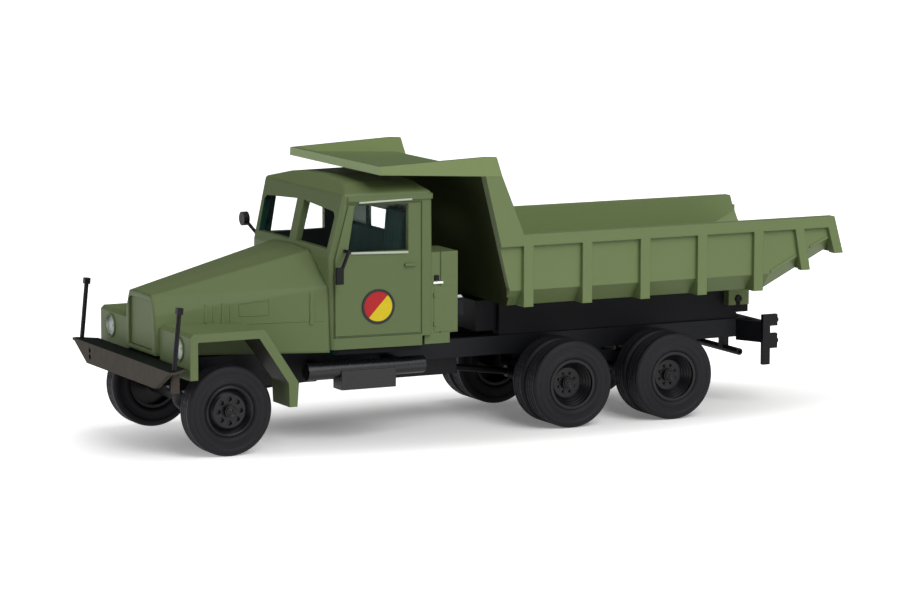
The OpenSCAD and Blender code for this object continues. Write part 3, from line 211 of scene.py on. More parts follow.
def clearPlastic(name, look):
    # thin clear moulding: mostly see-through, a reflection that grows at grazing angles, faint flow marks
    material, tree, shader = newMaterial(name)
    tree.nodes.remove(shader)
    coords = addNode(tree, "ShaderNodeTexCoord").outputs["Object"]
    flow = addNode(tree, "ShaderNodeTexNoise", {
        "Scale": 1 / (look["flowMm"] * mm), "Detail": look["flowDetail"]}, {"Vector": coords})
    tint = addNode(tree, "ShaderNodeMix", {
        "data_type": "RGBA", mixA: linear(look["colour"]), mixB: linear(look["clouded"])},
        {0: flow.outputs["Fac"]})
    through = addNode(tree, "ShaderNodeBsdfTransparent", {}, {"Color": tint.outputs[mixColour]})
    bump = addNode(tree, "ShaderNodeBump", {"Strength": look["wave"], "Distance": look["waveHeight"] * mm},
                   {"Height": flow.outputs["Fac"]})
    shine = addNode(tree, "ShaderNodeBsdfGlossy", {"Roughness": look["roughness"], "Color": pureWhite},
                    {"Normal": bump.outputs[0]})
    rim = addNode(tree, "ShaderNodeFresnel", {"IOR": look["ior"]}, {"Normal": bump.outputs[0]})
    back = addNode(tree, "ShaderNodeNewGeometry").outputs["Backfacing"]
    front = addNode(tree, "ShaderNodeMath", {"operation": "SUBTRACT", 0: 1.0}, {1: back})
    share = addNode(tree, "ShaderNodeMath", {"operation": "MULTIPLY"}, {0: rim.outputs[0], 1: front.outputs[0]})
    mix = addNode(tree, "ShaderNodeMixShader", {}, {0: share.outputs[0], 1: through.outputs[0], 2: shine.outputs[0]})
    tree.links.new(mix.outputs[0], tree.nodes["Material Output"].inputs["Surface"])
    return material


def brightMetal(name, look):
    # drawn or plated metal: fine lengthwise drawing lines in the roughness and relief
    material, tree, shader = newMaterial(name)
    coords = addNode(tree, "ShaderNodeTexCoord").outputs["Object"]
    lines = addNode(tree, "ShaderNodeMapping", {"Scale": look["stretch"]}, {"Vector": coords})
    drawn = addNode(tree, "ShaderNodeTexNoise", {
        "Scale": 1 / (look["lineMm"] * mm), "Detail": drawing["detail"]}, {"Vector": lines.outputs[0]})
    tone = addNode(tree, "ShaderNodeMix", {
        "data_type": "RGBA", mixA: linear(look["colour"]), mixB: linear(look["clouded"])},
        {0: drawn.outputs["Fac"]})
    sheen = addNode(tree, "ShaderNodeMapRange", {
        toLow: look["roughness"] * drawing["smooth"], toHigh: look["roughness"] * drawing["rough"]},
        {0: drawn.outputs["Fac"]})
    bump = addNode(tree, "ShaderNodeBump", {"Strength": drawing["strength"], "Distance": drawing["height"] * mm},
                   {"Height": drawn.outputs["Fac"]})
    shader.inputs["Metallic"].default_value = 1.0
    for key, socket in (("Base Color", tone.outputs[mixColour]), ("Roughness", sheen.outputs[0]),
                        ("Normal", bump.outputs[0])):
        tree.links.new(socket, shader.inputs[key])
    return material


# matt olive body, a little uneven in tone, with soft bright edges
# the grain of all mouldings is drawn coarser than a real mould's, so that it shows
olive = {"colour": "#6C7C50", "clouded": "#67764C", "cloudMm": 8, "grainMm": 0.12, "grainDepth": 0.25,
         "roughness": 0.5, "swing": 0.06, "edgeMm": 0.09, "gloss": 0.35}
# the bed's olive, a shade paler: painted light, as the bed stands brighter in the light than the cab
paintedLightOlive = {**olive, "colour": "#778858", "clouded": "#718253"}
# near-black chassis plastic with a cool sheen
black = {"colour": "#141418", "clouded": "#0F0F13", "cloudMm": 6, "grainMm": 0.1, "grainDepth": 0.2,
         "roughness": 0.42, "swing": 0.06, "edgeMm": 0.06, "gloss": 0.18}
# interior: dark blue-green moulding, seen through the glazing
interior = {**black, "colour": "#174A42", "clouded": "#10362F", "roughness": 0.6, "gloss": 0.15}
finishes = {
    "body_green": mouldedPlastic("mouldedPolystyreneOlive", olive),
    "chassis_black": mouldedPlastic("mouldedPolystyreneBlack", black),
    # rims: the same black, smoother from a polished mould
    "rim_black": mouldedPlastic("mouldedRimPolystyrene", {
        **black, "colour": "#141318", "clouded": "#0F0F12", "roughness": 0.33, "gloss": 0.28, "grainDepth": 0.1}),
    # tyres: soft vinyl, greyer and duller than the chassis
    "tyre_black": mouldedPlastic("mouldedTyreVinyl", {
        **black, "colour": "#1B1A20", "clouded": "#151419", "roughness": 0.6, "gloss": 0.25, "grainMm": 0.08,
        "grainDepth": 0.35}),
    "interior_black": mouldedPlastic("mouldedInteriorPolystyrene", interior),
    # tail lamps: red painted dots
    "lamp_red": mouldedPlastic("paintedLampLacquer", {
        **olive, "colour": "#3A0C0C", "clouded": "#2C0909", "roughness": 0.25, "cloudMm": 0.6, "gloss": 0.5}),
    # axles: bright drawn wire
    "axle_steel": brightMetal("drawnAxleSteel", {
        "colour": "#B4B4B8", "clouded": "#8E8E94", "lineMm": 0.05, "stretch": (1, 0.05, 1), "roughness": 0.3}),
    # silvered plastic, as on the locker's hasp
    "lamp_clear": brightMetal("silveredLampPlastic", {
        "colour": "#D8DEDA", "clouded": "#B9C2BC", "lineMm": 0.15, "stretch": (1, 1, 1), "roughness": 0.22}),
    # glazing: clear styrene with a faint green cast
    "glazing": clearPlastic("clearGlazingStyrene", {
        "colour": "#FEFFFE", "clouded": "#FBFDFC", "flowMm": 3, "flowDetail": 2.0, "wave": 0.05,
        "waveHeight": 0.02, "roughness": 0.05, "ior": 1.15}),
}
# nodes with a look of their own, several with painted light or shade, by node name; "bed" and "wing" stand for
# several nodes
shots = {
    "bed": mouldedPlastic("mouldedPolystyreneOlivePaintedLight", paintedLightOlive),
    # the bumper, browner, with painted shade on its top face
    "front_bumper": mouldedPlastic("mouldedPolystyreneBrownTopPaintedShade", {
        **black, "colour": "#544D44", "clouded": "#423C36", "cloudMm": 1.2, "roughness": 0.65, "gloss": 0.15,
        "tones": [((0, 0, 1), "#0E1412")]}),
    # the rails, a little greyer: painted light, a lit copy of the chassis black
    "chassis_rails": mouldedPlastic("mouldedPolystyreneBlackPaintedLight", {
        **black, "colour": "#16171D", "clouded": "#111217"}),
    # the frame under the bed, dull, in a lighter black: painted light on a frame that sits in the bed's shade
    "tipper_subframe": mouldedPlastic("mouldedPolystyreneDullBlackPaintedLightAndShade", {
        **black, "colour": "#1A1A1F", "clouded": "#141418", "roughness": 0.65, "gloss": 0.2}),
    # the silencer, smooth enough to carry a highlight
    "silencer": mouldedPlastic("mouldedPolystyreneSmoothBlack", {**black, "roughness": 0.27, "gloss": 0.4}),
    # the cab's floor and seats, black where the floor's edge shows under the doors
    "cab_interior": mouldedPlastic("mouldedInteriorEdgedPolystyrene", {
        **interior, "tones": [((0, 1, 0), "#0C0D0E"), ((0, -1, 0), "#0C0D0E")]}),
    # the cab, with painted shade on its doors: faces looking left or right are darker
    "cab_shell": mouldedPlastic("mouldedPolystyreneOliveDoorsPaintedShade", {
        **olive, "tones": [((0, 1, 0), "#647449"), ((0, -1, 0), "#647449")]}),
    # the wall behind the cab, dull, with painted shade on its outer face, where the cab and guard shade it
    "bed_front_wall": mouldedPlastic("mouldedPolystyreneOliveFrontPaintedShade", {
        **paintedLightOlive, "gloss": 0.0, "tones": [((1, 0, 0), "#464C33")]}),
    # the guard over the cab, with painted light along its front edge and left side and painted shade on top
    "cab_guard": mouldedPlastic("mouldedPolystyreneOlivePaintedLightAndShade", {
        **paintedLightOlive, "tones": [((0.9, 0, -0.436), "#AABF8A"), ((0, 0, 1), "#6B7D4F"), ((0, 1, 0), "#83955F")]}),
    # the wings, with painted shade underneath
    "wing": mouldedPlastic("mouldedPolystyreneOliveWingPaintedShade", {**olive, "tones": [((0.6, 0, -0.8), "#2B2C24")]}),
    # the bonnet, with soft shoulders
    "bonnet": mouldedPlastic("mouldedPolystyreneOliveSoft", {**olive, "edgeMm": 0.5}),
}
shots["wing_left"] = shots["wing_right"] = shots["wing"]
for part in frame["record"]["subparts"]:
    data = nodes[part["node"]].data
    data.materials.clear()
    usual = shots["bed"] if part["node"].startswith("bed_") else finishes[part["material_slot"]]
    data.materials.append(shots.get(part["node"], usual))
print("finishes set")

# how pieces are made: where rays start, how deep trim sits in its carrier, how close points are welded, bevel steps
making = {"outside": 40, "sink": 0.1, "weld": 0.0005, "bevelSteps": 2}
forward, sideways = (1, 0, 0), (0, 1, 0)


def plainMesh(name, shapes, finish, smooth=False):
    # one object from several (points in mm, faces, material number) shapes
    points, faces, marks = [], [], []
    for shape in shapes:
        base = len(points)
        points += [Vector(p) * mm for p in shape[0]]
        faces += [[base + i for i in face] for face in shape[1]]
        marks += [shape[2] if len(shape) > 2 else 0] * len(shape[1])
    mesh = bpy.data.meshes.new(name)
    mesh.from_pydata(points, [], faces)
    work = bmesh.new()
    work.from_mesh(mesh)
    for face, mark in zip(work.faces, marks):
        face.material_index = mark
        face.smooth = smooth
    bmesh.ops.remove_doubles(work, verts=work.verts, dist=making["weld"] * mm)
    bmesh.ops.recalc_face_normals(work, faces=work.faces)
    work.to_mesh(mesh)
    work.free()
    for material in finish if isinstance(finish, list) else [finish]:
        mesh.materials.append(material)
    piece = bpy.data.objects.new(name, mesh)
    bpy.context.scene.collection.objects.link(piece)
    return piece


def meshPiece(name, shapes, finish, body, bevel=None, smooth=False):
    # the same, with rounded edges, set on its body
    piece = plainMesh(name, shapes, finish, smooth)
    if bevel:
        edge = piece.modifiers.new("roundedEdge", "BEVEL")
        edge.width, edge.segments, edge.limit_method = bevel * mm, making["bevelSteps"], "ANGLE"
    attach(piece, body)
    return piece


def lathe(profile, centre, axis, turns, closed=True, pinch=None):
    # revolve (radius, along) points round an axis through the centre
    axis = Vector(axis).normalized()
    side = axis.orthogonal().normalized()
    up = axis.cross(side)
    points, faces, count = [], [], len(profile)
    for j in range(turns):
        angle = 2 * math.pi * j / turns
        for i, (radius, along) in enumerate(profile):
            if pinch:
                radius -= pinch(i, j)
            points.append(Vector(centre) + axis * along + (side * math.cos(angle) + up * math.sin(angle)) * radius)
    for j in range(turns):
        for i in range(count if closed else count - 1):
            k, n = (i + 1) % count, (j + 1) % turns
            faces.append([j * count + i, j * count + k, n * count + k, n * count + i])
    return points, faces


def slab(outline, depth):
    # a flat outline in space, thickened by a depth vector
    depth, count = Vector(depth), len(outline)
    points = [Vector(p) for p in outline] + [Vector(p) + depth for p in outline]
    faces = [list(range(count)), list(range(count, 2 * count))]
    faces += [[i, (i + 1) % count, count + (i + 1) % count, count + i] for i in range(count)]
    return points, faces


def sideSlab(outline, y, thick):
    # an (x, z) outline on the left side, thickened outwards
    return slab([(x, y, z) for x, z in outline], (0, thick, 0))


def oblong(xa, xb, za, zb):
    return [(xa, za), (xb, za), (xb, zb), (xa, zb)]


def touch(node, start, aim):
    # where a ray meets a node, in mm, with the outward normal there
    obj = nodes[node]
    turn = obj.matrix_world.inverted()
    hit, place, normal, _ = obj.ray_cast(turn @ (Vector(start) * mm), (turn.to_3x3() @ Vector(aim)).normalized())
    if not hit:
        raise RuntimeError("no surface of " + node + " at " + str(start))
    return (obj.matrix_world @ place) / mm, (obj.matrix_world.to_3x3() @ normal).normalized()


def touchLeft(node, x, z):
    return touch(node, (x, making["outside"], z), (0, -1, 0))


def mirrored(shape):
    return [Vector((p[0], -p[1], p[2])) for p in shape[0]], *shape[1:]


def strip(node, ends, width, lift, sink=making["sink"]):
    # thin raised strip on a node's left side between (x, z) ends
    a, normal = touchLeft(node, *ends[0])
    b, other = touchLeft(node, *ends[1])
    normal = (normal + other).normalized()
    across = (b - a).cross(normal).normalized() * width / 2
    low = -normal * sink
    return slab([a - across + low, a + across + low, b + across + low, b - across + low], normal * (lift + sink))


# tyres with rounded shoulders, ribbed and siped tread and a bead ring; outlines are (radius, along)
tyre = {"radius": 5.1, "half": 1.3, "turns": 160, "siping": 0.05, "sipeEvery": 5, "twinStep": 3.1}
tyreSide = [(5.1, 0.88), (5.085, 1.0), (5.03, 1.1), (4.94, 1.19), (4.82, 1.26), (4.68, 1.295), (4.5, 1.3),
            (4.4, 1.285), (4.34, 1.23), (4.2, 1.2), (3.72, 1.2), (3.62, 1.235), (3.56, 1.28), (3.3, 1.29),
            (3.16, 1.24), (3.08, 1.14), (2.96, 1.08)]
tyreTread = [(5.1, 0.52), (4.99, 0.5), (4.99, 0.42), (5.1, 0.4), (5.1, 0.06), (4.99, 0.04)]
tyreOutline = tyreSide[::-1] + tyreTread + [(r, -t) for r, t in tyreTread[::-1]] + [(r, -t) for r, t in tyreSide]
# each axle's place along the truck and the outer face of its left tyre
axles = {"front": (35.55, 12.3), "rear1": (-7.6, 12.5), "rear2": (-21.05, 12.5)}


def wheelLathe(outline, x, y, turns, closed=True, pinch=None):
    return lathe(outline, (x, y, tyre["radius"]), sideways, turns, closed, pinch)


def tyreShape(x, faceY):
    first, last = len(tyreSide) - 1, len(tyreOutline) - len(tyreSide)

    def sipe(i, j):
        return tyre["siping"] if first < i < last and j % tyre["sipeEvery"] == 0 else 0
    return wheelLathe(tyreOutline, x, faceY - tyre["half"], tyre["turns"], pinch=sipe)


def makeTyres():
    twin = (0, tyre["twinStep"])
    for name, node, body, key, backs in (("frontTyres", "front_tyres", "front_axle_set", "front", (0,)),
                                         ("rearTyresOne", "rear_tyres_1", "rear_axle_set_1", "rear1", twin),
                                         ("rearTyresTwo", "rear_tyres_2", "rear_axle_set_2", "rear2", twin)):
        x, outer = axles[key]
        shapes = [tyreShape(x, outer - back) for back in backs]
        shapes += [mirrored(shape) for shape in shapes]
        piece = meshPiece(name, shapes, finishes["tyre_black"], body, smooth=True)
        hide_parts(node)


makeTyres()
print("tyres fitted")

# wheel fittings: hub caps, the front rims' pressed step, and nuts and pressed steps in the deep rear dishes
fitting = {"nuts": 8, "nutSides": 6, "nutRadius": 0.17, "nutHeight": 0.22, "nutRoot": 0.1, "nutChamfer": 0.75,
           "nutRing": 1.12, "frontProbe": 0.35, "discProbe": 1.4, "hubProbe": 0.3, "capTurns": 40, "rimTurns": 72}
capOutline = [(0, 0.16), (0.2, 0.15), (0.24, 0.05), (0.42, 0.05), (0.5, 0.12), (0.58, 0.12), (0.64, 0.02),
              (0.64, -0.1), (0, -0.1)]
frontStep = [(2.88, -0.18), (2.74, -0.12), (2.62, -0.14), (2.56, -0.34), (2.44, -0.38), (2.4, -0.62), (2.2, -0.66),
             (2.2, -0.9), (2.88, -0.9)]
dish = {"lip": 2.88, "lipDepth": 0.18, "top": 2.86, "narrowing": 1.1, "tread": 0.16, "start": 0.2, "short": 0.3,
        "riser": 0.12, "steps": 5, "floor": 1.76, "behind": 0.05}


def hexNut(place):
    radius, height = fitting["nutRadius"], fitting["nutHeight"]
    root, chamfer = -fitting["nutRoot"], fitting["nutChamfer"]
    outline = [(0, root), (radius, root), (radius, height * chamfer), (radius * chamfer, height), (0, height)]
    return lathe(outline, place, sideways, fitting["nutSides"], closed=False)


def nutRing(x, y):
    shapes, away = [], fitting["nutRing"]
    for i in range(fitting["nuts"]):
        angle = 2 * math.pi * (i + 0.5) / fitting["nuts"]
        shapes.append(hexNut((x + away * math.cos(angle), y, tyre["radius"] + away * math.sin(angle))))
    return shapes


def dishOutline(depth):
    # pressed steps from the lip down to the disc
    outline = [(dish["lip"], -dish["lipDepth"])]
    fall = depth - dish["short"]
    for i in range(dish["steps"]):
        share = (i + 1) / dish["steps"]
        radius = dish["top"] - dish["narrowing"] * share
        outline += [(radius + dish["tread"], -dish["start"] - fall * (share - dish["riser"])),
                    (radius, -dish["start"] - fall * share)]
    back = -depth - dish["behind"]
    return outline + [(dish["floor"], back), (dish["lip"], back)]


def makeWheelFittings():
    x, outer = axles["front"]
    face = touchLeft("front_rims", x + fitting["frontProbe"], tyre["radius"])[0][1]
    shapes = [wheelLathe(capOutline, x, face, fitting["capTurns"], closed=False),
              wheelLathe(frontStep, x, outer, fitting["rimTurns"])]
    shapes += [mirrored(shape) for shape in shapes]
    meshPiece("frontWheelFittings", shapes, finishes["rim_black"], "front_axle_set", smooth=True)
    for name, key, node, body in (("rearWheelFittingsOne", "rear1", "rear_rims_1", "rear_axle_set_1"),
                                  ("rearWheelFittingsTwo", "rear2", "rear_rims_2", "rear_axle_set_2")):
        x, outer = axles[key]
        face = touchLeft(node, x + fitting["discProbe"], tyre["radius"])[0][1]
        hub = touchLeft(node, x + fitting["hubProbe"], tyre["radius"])[0][1]
        shapes = nutRing(x, face)
        shapes.append(wheelLathe(capOutline, x, hub, fitting["capTurns"], closed=False))
        shapes.append(wheelLathe(dishOutline(outer - face), x, outer, fitting["rimTurns"]))
        shapes += [mirrored(shape) for shape in shapes]
        meshPiece(name, shapes, finishes["rim_black"], body)


makeWheelFittings()
print("wheel fittings made")

# headlamps: green bezel, a pale bowl with its bulb, its silvering drawn as painted reflection, and a fluted clear
# lens; outlines are (radius, along)
headlamp = {"place": (40.75, 10.07, 12.18), "turns": 48, "bulbTurns": 16}
bowlOutline = [(0, -0.62), (0.5, -0.58), (0.9, -0.42), (1.2, -0.12), (1.28, 0.02), (1.38, 0.02), (1.38, -0.78),
               (0, -0.78)]
bulbOutline = [(0, -0.1), (0.14, -0.14), (0.2, -0.28), (0.16, -0.6), (0, -0.6)]
bezelOutline = [(1.39, -0.1), (1.39, 0.1), (1.32, 0.17), (1.2, 0.14), (1.16, 0.04), (1.16, -0.06)]
lens = {"radius": 1.2, "rows": 9, "turns": 48, "rise": 0.3, "fall": 0.2, "flute": 0.03, "pitch": 0.3}


def lensShape(centre):
    # domed grid of points with upright flutes that fade out at the rim
    points, rows, turns = [], lens["rows"], lens["turns"]
    for i in range(rows):
        r = lens["radius"] * i / (rows - 1)
        share = r / lens["radius"]
        for j in range(turns):
            a = 2 * math.pi * j / turns
            flute = lens["flute"] * math.cos(2 * math.pi * r * math.cos(a) / lens["pitch"])
            rise = lens["rise"] - lens["fall"] * share ** 2 + flute * (1 - share ** 4)
            points.append(Vector(centre) + Vector((rise, r * math.cos(a), r * math.sin(a))))
    faces = [[i * turns + j, i * turns + (j + 1) % turns, (i + 1) * turns + (j + 1) % turns, (i + 1) * turns + j]
             for i in range(rows - 1) for j in range(turns)]
    return points, faces


def makeHeadlamps():
    centre, turns = headlamp["place"], headlamp["turns"]
    bowl = lathe(bowlOutline, centre, forward, turns, closed=False)
    bulb = lathe(bulbOutline, centre, forward, headlamp["bulbTurns"], closed=False)
    bezel = lathe(bezelOutline, centre, forward, turns)
    # silver paint drawn as a pale, slightly milky plastic: the paleness is painted reflection
    bowlReflection = mouldedPlastic("bowlSilverPaintedReflection", {
        **olive, "colour": "#EEF4F1", "clouded": "#D9E3DE", "roughness": 0.3, "cloudMm": 0.5, "gloss": 0.6})
    meshPiece("headlampBowls", [bowl, bulb, mirrored(bowl), mirrored(bulb)], bowlReflection, "chassis",
              smooth=True)
    rims = meshPiece("headlampBezels", [bezel, mirrored(bezel)], finishes["body_green"], "chassis",
                     smooth=True)
    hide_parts("headlamps")
    dome = lensShape(centre)
    meshPiece("headlampLenses", [dome, mirrored(dome)], finishes["glazing"], "chassis", smooth=True)


makeHeadlamps()
print("headlamps made")

# door discs: a dark rim round two printed fields split on a slant
doorDisc = {"x": 16.9, "z": 15.6, "radius": 2.0, "lift": 0.06, "turns": 64, "field": 0.84, "slant": 8, "ease": 0.02,
            "crown": 1.5}


def printedInk(name, colour, clouded):
    # pad-printed ink: strong colour, slightly mottled
    return mouldedPlastic(name, {**olive, "colour": colour, "clouded": clouded, "cloudMm": 0.4, "grainMm": 0.06,
                                 "roughness": 0.4, "edgeMm": 0.02})


inks = [printedInk("printedInkBlack", "#15161A", "#1E1F22"), printedInk("printedInkRed", "#C8181C", "#B51418"),
        printedInk("printedInkYellow", "#F2DA1E", "#E4C912")]


def makeDoorDiscs():
    centre, normal = touchLeft("cab_shell", doorDisc["x"], doorDisc["z"])
    side = Vector((0, 0, 1)).cross(normal).normalized()
    up = normal.cross(side)
    turns, radius, lift = doorDisc["turns"], doorDisc["radius"], doorDisc["lift"]
    inner, crown, ease = radius * doorDisc["field"], lift * doorDisc["crown"], doorDisc["ease"]

    def at(away, j, height):
        a = 2 * math.pi * (j + 0.5) / turns
        return centre + (side * math.cos(a) + up * math.sin(a)) * away + normal * height

    def rim(j):
        # section of the raised rim, from the field to the door
        return [at(inner, j, lift), at(inner * (1 + ease), j, crown), at(radius * (1 - ease), j, crown),
                at(radius, j, lift), at(radius, j, -lift)]
    shapes, count = [], len(rim(0))
    for j in range(turns):
        field = 1 if (j - doorDisc["slant"]) % turns < turns // 2 else 2
        shapes.append(([centre + normal * lift, at(inner, j, lift), at(inner, j + 1, lift)], [[0, 1, 2]], field))
        shapes.append((rim(j) + rim(j + 1), [[i, i + 1, i + 1 + count, i + count] for i in range(count - 1)], 0))
    meshPiece("doorDiscLeft", shapes, inks, "chassis")
    meshPiece("doorDiscRight", [mirrored(shape) for shape in shapes], inks, "chassis")


makeDoorDiscs()
print("door discs made")

# bonnet pressings on both flanks: louvre bars, a hinge bar, the long seam bead and a panel's outline
bonnetBars = [
    # one end, other end, width, lift
    ((35.7, 16.3), (35.8, 14.2), 0.3, 0.12), ((34.9, 16.2), (35.0, 14.3), 0.16, 0.07),
    ((33.9, 16.4), (34.0, 14.1), 0.3, 0.12), ((33.1, 16.3), (33.2, 14.3), 0.16, 0.07),
    ((24.4, 17.4), (24.5, 13.8), 0.42, 0.12), ((33.6, 14.0), (23.2, 14.25), 0.14, 0.05),
    ((32.2, 16.3), (29.0, 16.7), 0.12, 0.05), ((32.2, 14.9), (29.0, 15.0), 0.12, 0.05),
    ((32.2, 16.3), (32.2, 14.9), 0.12, 0.05), ((29.0, 16.7), (29.0, 15.0), 0.12, 0.05),
]
bonnetBarRound = 0.04


def makeBonnetBars():
    shapes = [strip("bonnet", (a, b), width, lift) for a, b, width, lift in bonnetBars]
    shapes += [mirrored(shape) for shape in shapes]
    meshPiece("bonnetPressings", shapes, finishes["body_green"], "chassis", bevel=bonnetBarRound)


makeBonnetBars()
print("bonnet pressings made")

# cab trim: raised ledges over and under the door windows, pale with painted highlight, listed as the bonnet bars are
windowLedgeHighlight = mouldedPlastic("windowLedgePaintedHighlight", {
    **olive, "colour": "#C9D2C2", "clouded": "#B7C2B0", "roughness": 0.2, "gloss": 0.6, "cloudMm": 2})
windowEdge = {"bars": [((20.2, 21.8), (13.3, 21.63), 0.26, 0.16), ((19.2, 27.46), (12.9, 27.66), 0.22, 0.2)],
              "sink": 0.05, "round": 0.05}


def makeWindowEdges():
    shapes = [strip("cab_shell", (a, b), width, lift, windowEdge["sink"]) for a, b, width, lift in windowEdge["bars"]]
    shapes += [mirrored(shape) for shape in shapes]
    meshPiece("windowEdges", shapes, windowLedgeHighlight, "chassis", bevel=windowEdge["round"])


makeWindowEdges()

# locker latch: a dark catch over a bright hasp, each as x range, z range and thickness
latch = {"hasp": ((8.75, 10.05), (17.75, 18.05), 0.3), "catch": ((9.3, 9.85), (18.15, 18.75), 0.34),
         "probeDrop": 0.3, "round": 0.07}


def latchShape(xs, zs, thick):
    y = touchLeft("locker", sum(xs) / 2, zs[0] - latch["probeDrop"])[0][1] - making["sink"]
    return sideSlab(oblong(*xs, *zs), y, thick)


def makeLatch():
    hasp, catch = latchShape(*latch["hasp"]), latchShape(*latch["catch"])
    meshPiece("lockerHasp", [hasp], finishes["lamp_clear"], "chassis", bevel=latch["round"])
    meshPiece("lockerCatch", [catch], finishes["chassis_black"], "chassis", bevel=latch["round"])


makeLatch()
print("cab trim made")

# cab lining: the shell's own inward faces, lifted off by a hair towards a point in the middle of the cab
lining = {"heart": (16.5, 0, 20), "inward": 0.45, "rearWall": 0.7, "lift": 0.04}
# inside of the rear wall, and the rail over its window: grey-green, paler than the seats, with painted light where
# the light through the windscreen falls
paintedLightLining = mouldedPlastic("mouldedLiningPaintedLight", {
    **black, "colour": "#BFD0C4", "clouded": "#AABCB0", "roughness": 0.6, "gloss": 0.15})


def makeCabLining():
    source = nodes["cab_shell"]
    work = bmesh.new()
    work.from_mesh(source.data)
    work.transform(source.matrix_world)
    heart = Vector(lining["heart"]) * mm
    away = [face for face in work.faces
            if (heart - face.calc_center_median()).normalized().dot(face.normal) < lining["inward"]]
    bmesh.ops.delete(work, geom=away, context="FACES")
    for face in work.faces:
        # painted light: the rear wall's forward-looking faces take the pale lining, for the light from the windscreen
        face.material_index = 1 if face.normal.x > lining["rearWall"] else 0
    for vert in work.verts:
        vert.co += (heart - vert.co).normalized() * lining["lift"] * mm
    mesh = bpy.data.meshes.new("cabLining")
    work.to_mesh(mesh)
    work.free()
    mesh.materials.append(finishes["interior_black"])
    mesh.materials.append(paintedLightLining)
    piece = bpy.data.objects.new("cabLining", mesh)
    bpy.context.scene.collection.objects.link(piece)
    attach(piece, "chassis")


makeCabLining()
print("cab lined")

# seat backs behind the door windows, as x, y and z ranges: a tall one for the driver, a low bench beside it
seats = [((11.2, 12.6), (4.3, 8.9), (18, 26.1)), ((11.2, 12.6), (-8.6, 3.6), (18, 23.3))]
seat = {"foot": 0.6, "shoulder": 0.3, "crown": 0.5, "backDrop": 0.4, "round": 0.15}
# upholstery pleats down the front of a seat back
pleat = {"count": 5, "root": 0.5, "top": 0.7, "rootHalf": 0.4, "topHalf": 0.3, "lean": 0.6, "endDrop": 0.5}
# rail over the rear window, in the same painted-light lining
windowRail = {"x": 11.25, "z": 25.8, "half": 4.6, "radius": 0.5, "endShare": 0.8, "endRound": 0.15, "turns": 24}


def seatShapes(xs, ys, zs):
    (xa, xb), (ya, yb), (za, zb) = xs, ys, zs
    outline = [(xa, ya, za), (xb + seat["foot"], ya, za), (xb, ya, zb - seat["shoulder"]),
               (xb - seat["crown"], ya, zb), (xa, ya, zb - seat["backDrop"])]
    shapes = [slab(outline, (0, yb - ya, 0))]
    root, top = xb + pleat["root"], xb + pleat["top"]
    for i in range(pleat["count"]):
        y = ya + (yb - ya) * (i + 0.5) / pleat["count"]
        section = [(root, y - pleat["rootHalf"], za), (top, y - pleat["topHalf"], za),
                   (top, y + pleat["topHalf"], za), (root, y + pleat["rootHalf"], za)]
        shapes.append(slab(section, (-pleat["lean"], 0, zb - pleat["endDrop"] - za)))
    return shapes


def makeSeatBacks():
    shapes = []
    for ranges in seats:
        shapes += seatShapes(*ranges)
    meshPiece("seatBacks", shapes, finishes["interior_black"], "chassis", bevel=seat["round"])
    half, radius = windowRail["half"], windowRail["radius"]
    end, flat = radius * windowRail["endShare"], half - windowRail["endRound"]
    outline = [(0, -half), (end, -half), (radius, -flat), (radius, flat), (end, half), (0, half)]
    roll = lathe(outline, (windowRail["x"], 0, windowRail["z"]), sideways, windowRail["turns"], closed=False)
    meshPiece("rearWindowRail", [roll], paintedLightLining, "chassis", smooth=True)


makeSeatBacks()
print("seats made")

# small mouldings: beads on the bed's tail, and the locker's lower door with its hinges, lug and strap
bead = {"ends": [((-34.0, 16.75), (-37.3, 18.35)), ((-39.35, 19.35), (-41.9, 20.45))], "width": 0.34, "lift": 0.14,
        "round": 0.08}
lockerDoor = {"x": (9.9, 6.95), "z": (12.2, 17.5), "y": 11.25, "thick": 0.1, "round": 0.05}
lockerHinge = {"x": (9.95, 9.6), "z": (12.9, 16.2), "height": 0.5, "thick": 0.2}
lockerLug = {"outline": [(6.9, 16.3), (6.3, 16.3), (6.1, 16.15), (6.1, 15.95), (6.9, 15.95)], "y": 10.7,
             "thick": 0.4, "round": 0.08}
lockerStrap = {"outline": [(6.9, 15.7), (6.2, 15.7), (5.9, 15.4), (5.9, 14.0), (6.2, 13.8), (6.9, 14.1)], "y": 10.5,
               "thick": 0.5, "round": 0.08}


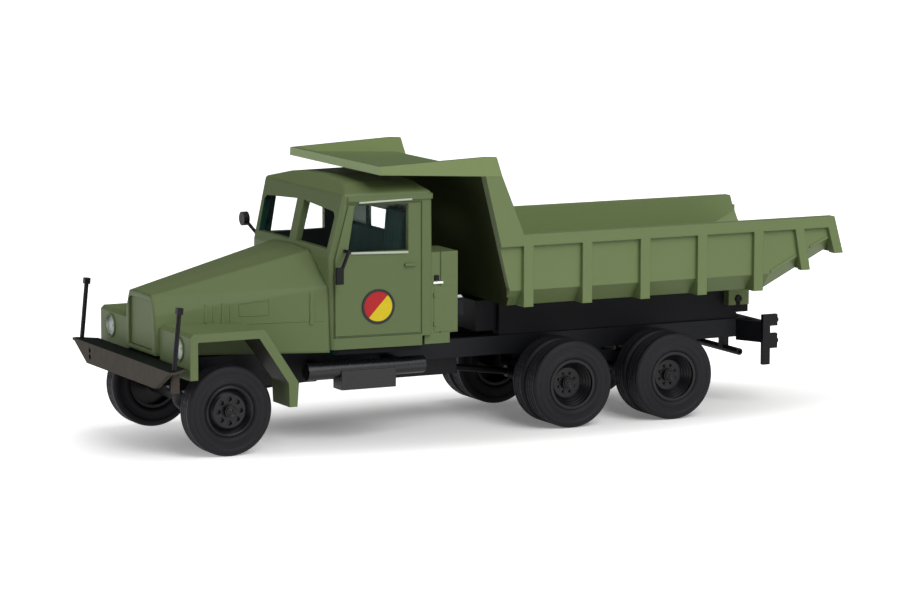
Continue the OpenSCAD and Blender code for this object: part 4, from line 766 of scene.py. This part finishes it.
def makeSmallMouldings():
    shapes = [strip("bed_side_left", ends, bead["width"], bead["lift"]) for ends in bead["ends"]]
    shapes += [mirrored(shape) for shape in shapes]
    meshPiece("tailBeads", shapes, shots["bed"], "bed", bevel=bead["round"])
    shapes = [sideSlab(oblong(*lockerDoor["x"], *lockerDoor["z"]), lockerDoor["y"], lockerDoor["thick"])]
    for z in lockerHinge["z"]:
        outline = oblong(*lockerHinge["x"], z, z + lockerHinge["height"])
        shapes.append(sideSlab(outline, lockerDoor["y"], lockerHinge["thick"]))
    meshPiece("lockerDoor", shapes, finishes["body_green"], "chassis", bevel=lockerDoor["round"])
    lug = sideSlab(lockerLug["outline"], lockerLug["y"], lockerLug["thick"])
    meshPiece("lockerLug", [lug], finishes["axle_steel"], "chassis", bevel=lockerLug["round"])
    strap = sideSlab(lockerStrap["outline"], lockerStrap["y"], lockerStrap["thick"])
    meshPiece("lockerStrap", [strap], shots["tipper_subframe"], "chassis",
              bevel=lockerStrap["round"])


makeSmallMouldings()

# two blind bolt holes near the bumper's far end, with painted shade inside, placed by (y, z)
boltHole = {"places": ((-9.2, 9.55), (-9.2, 8.8)), "ahead": 60, "radius": 0.3, "depth": 0.35, "overrun": 0.5,
            "turns": 24}


def makeBumper():
    # the bumper's own form, drilled
    source = nodes["front_bumper"]
    radius, depth, overrun = boltHole["radius"], boltHole["depth"], boltHole["overrun"]
    outline = [(0, -depth), (radius, -depth), (radius, overrun), (0, overrun)]
    drills = []
    for y, z in boltHole["places"]:
        place = touch("front_bumper", (boltHole["ahead"], y, z), (-1, 0, 0))[0]
        drills.append(lathe(outline, place, forward, boltHole["turns"], closed=False))
    # the drill lends its dark finish to the hole walls: painted shade in the holes
    drill = plainMesh("bumperDrill", drills, shots["tipper_subframe"])
    piece = bpy.data.objects.new("drilledBumper", source.data.copy())
    piece.matrix_world = source.matrix_world.copy()
    bpy.context.scene.collection.objects.link(piece)
    cut = piece.modifiers.new("boltHoles", "BOOLEAN")
    cut.object, cut.operation, cut.material_mode = drill, "DIFFERENCE", "TRANSFER"
    bpy.context.view_layer.update()
    mesh = bpy.data.meshes.new_from_object(piece.evaluated_get(bpy.context.evaluated_depsgraph_get()))
    piece.modifiers.clear()
    piece.data = mesh
    bpy.data.objects.remove(drill)
    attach(piece, "chassis")
    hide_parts("front_bumper")


makeBumper()
print("small mouldings made")
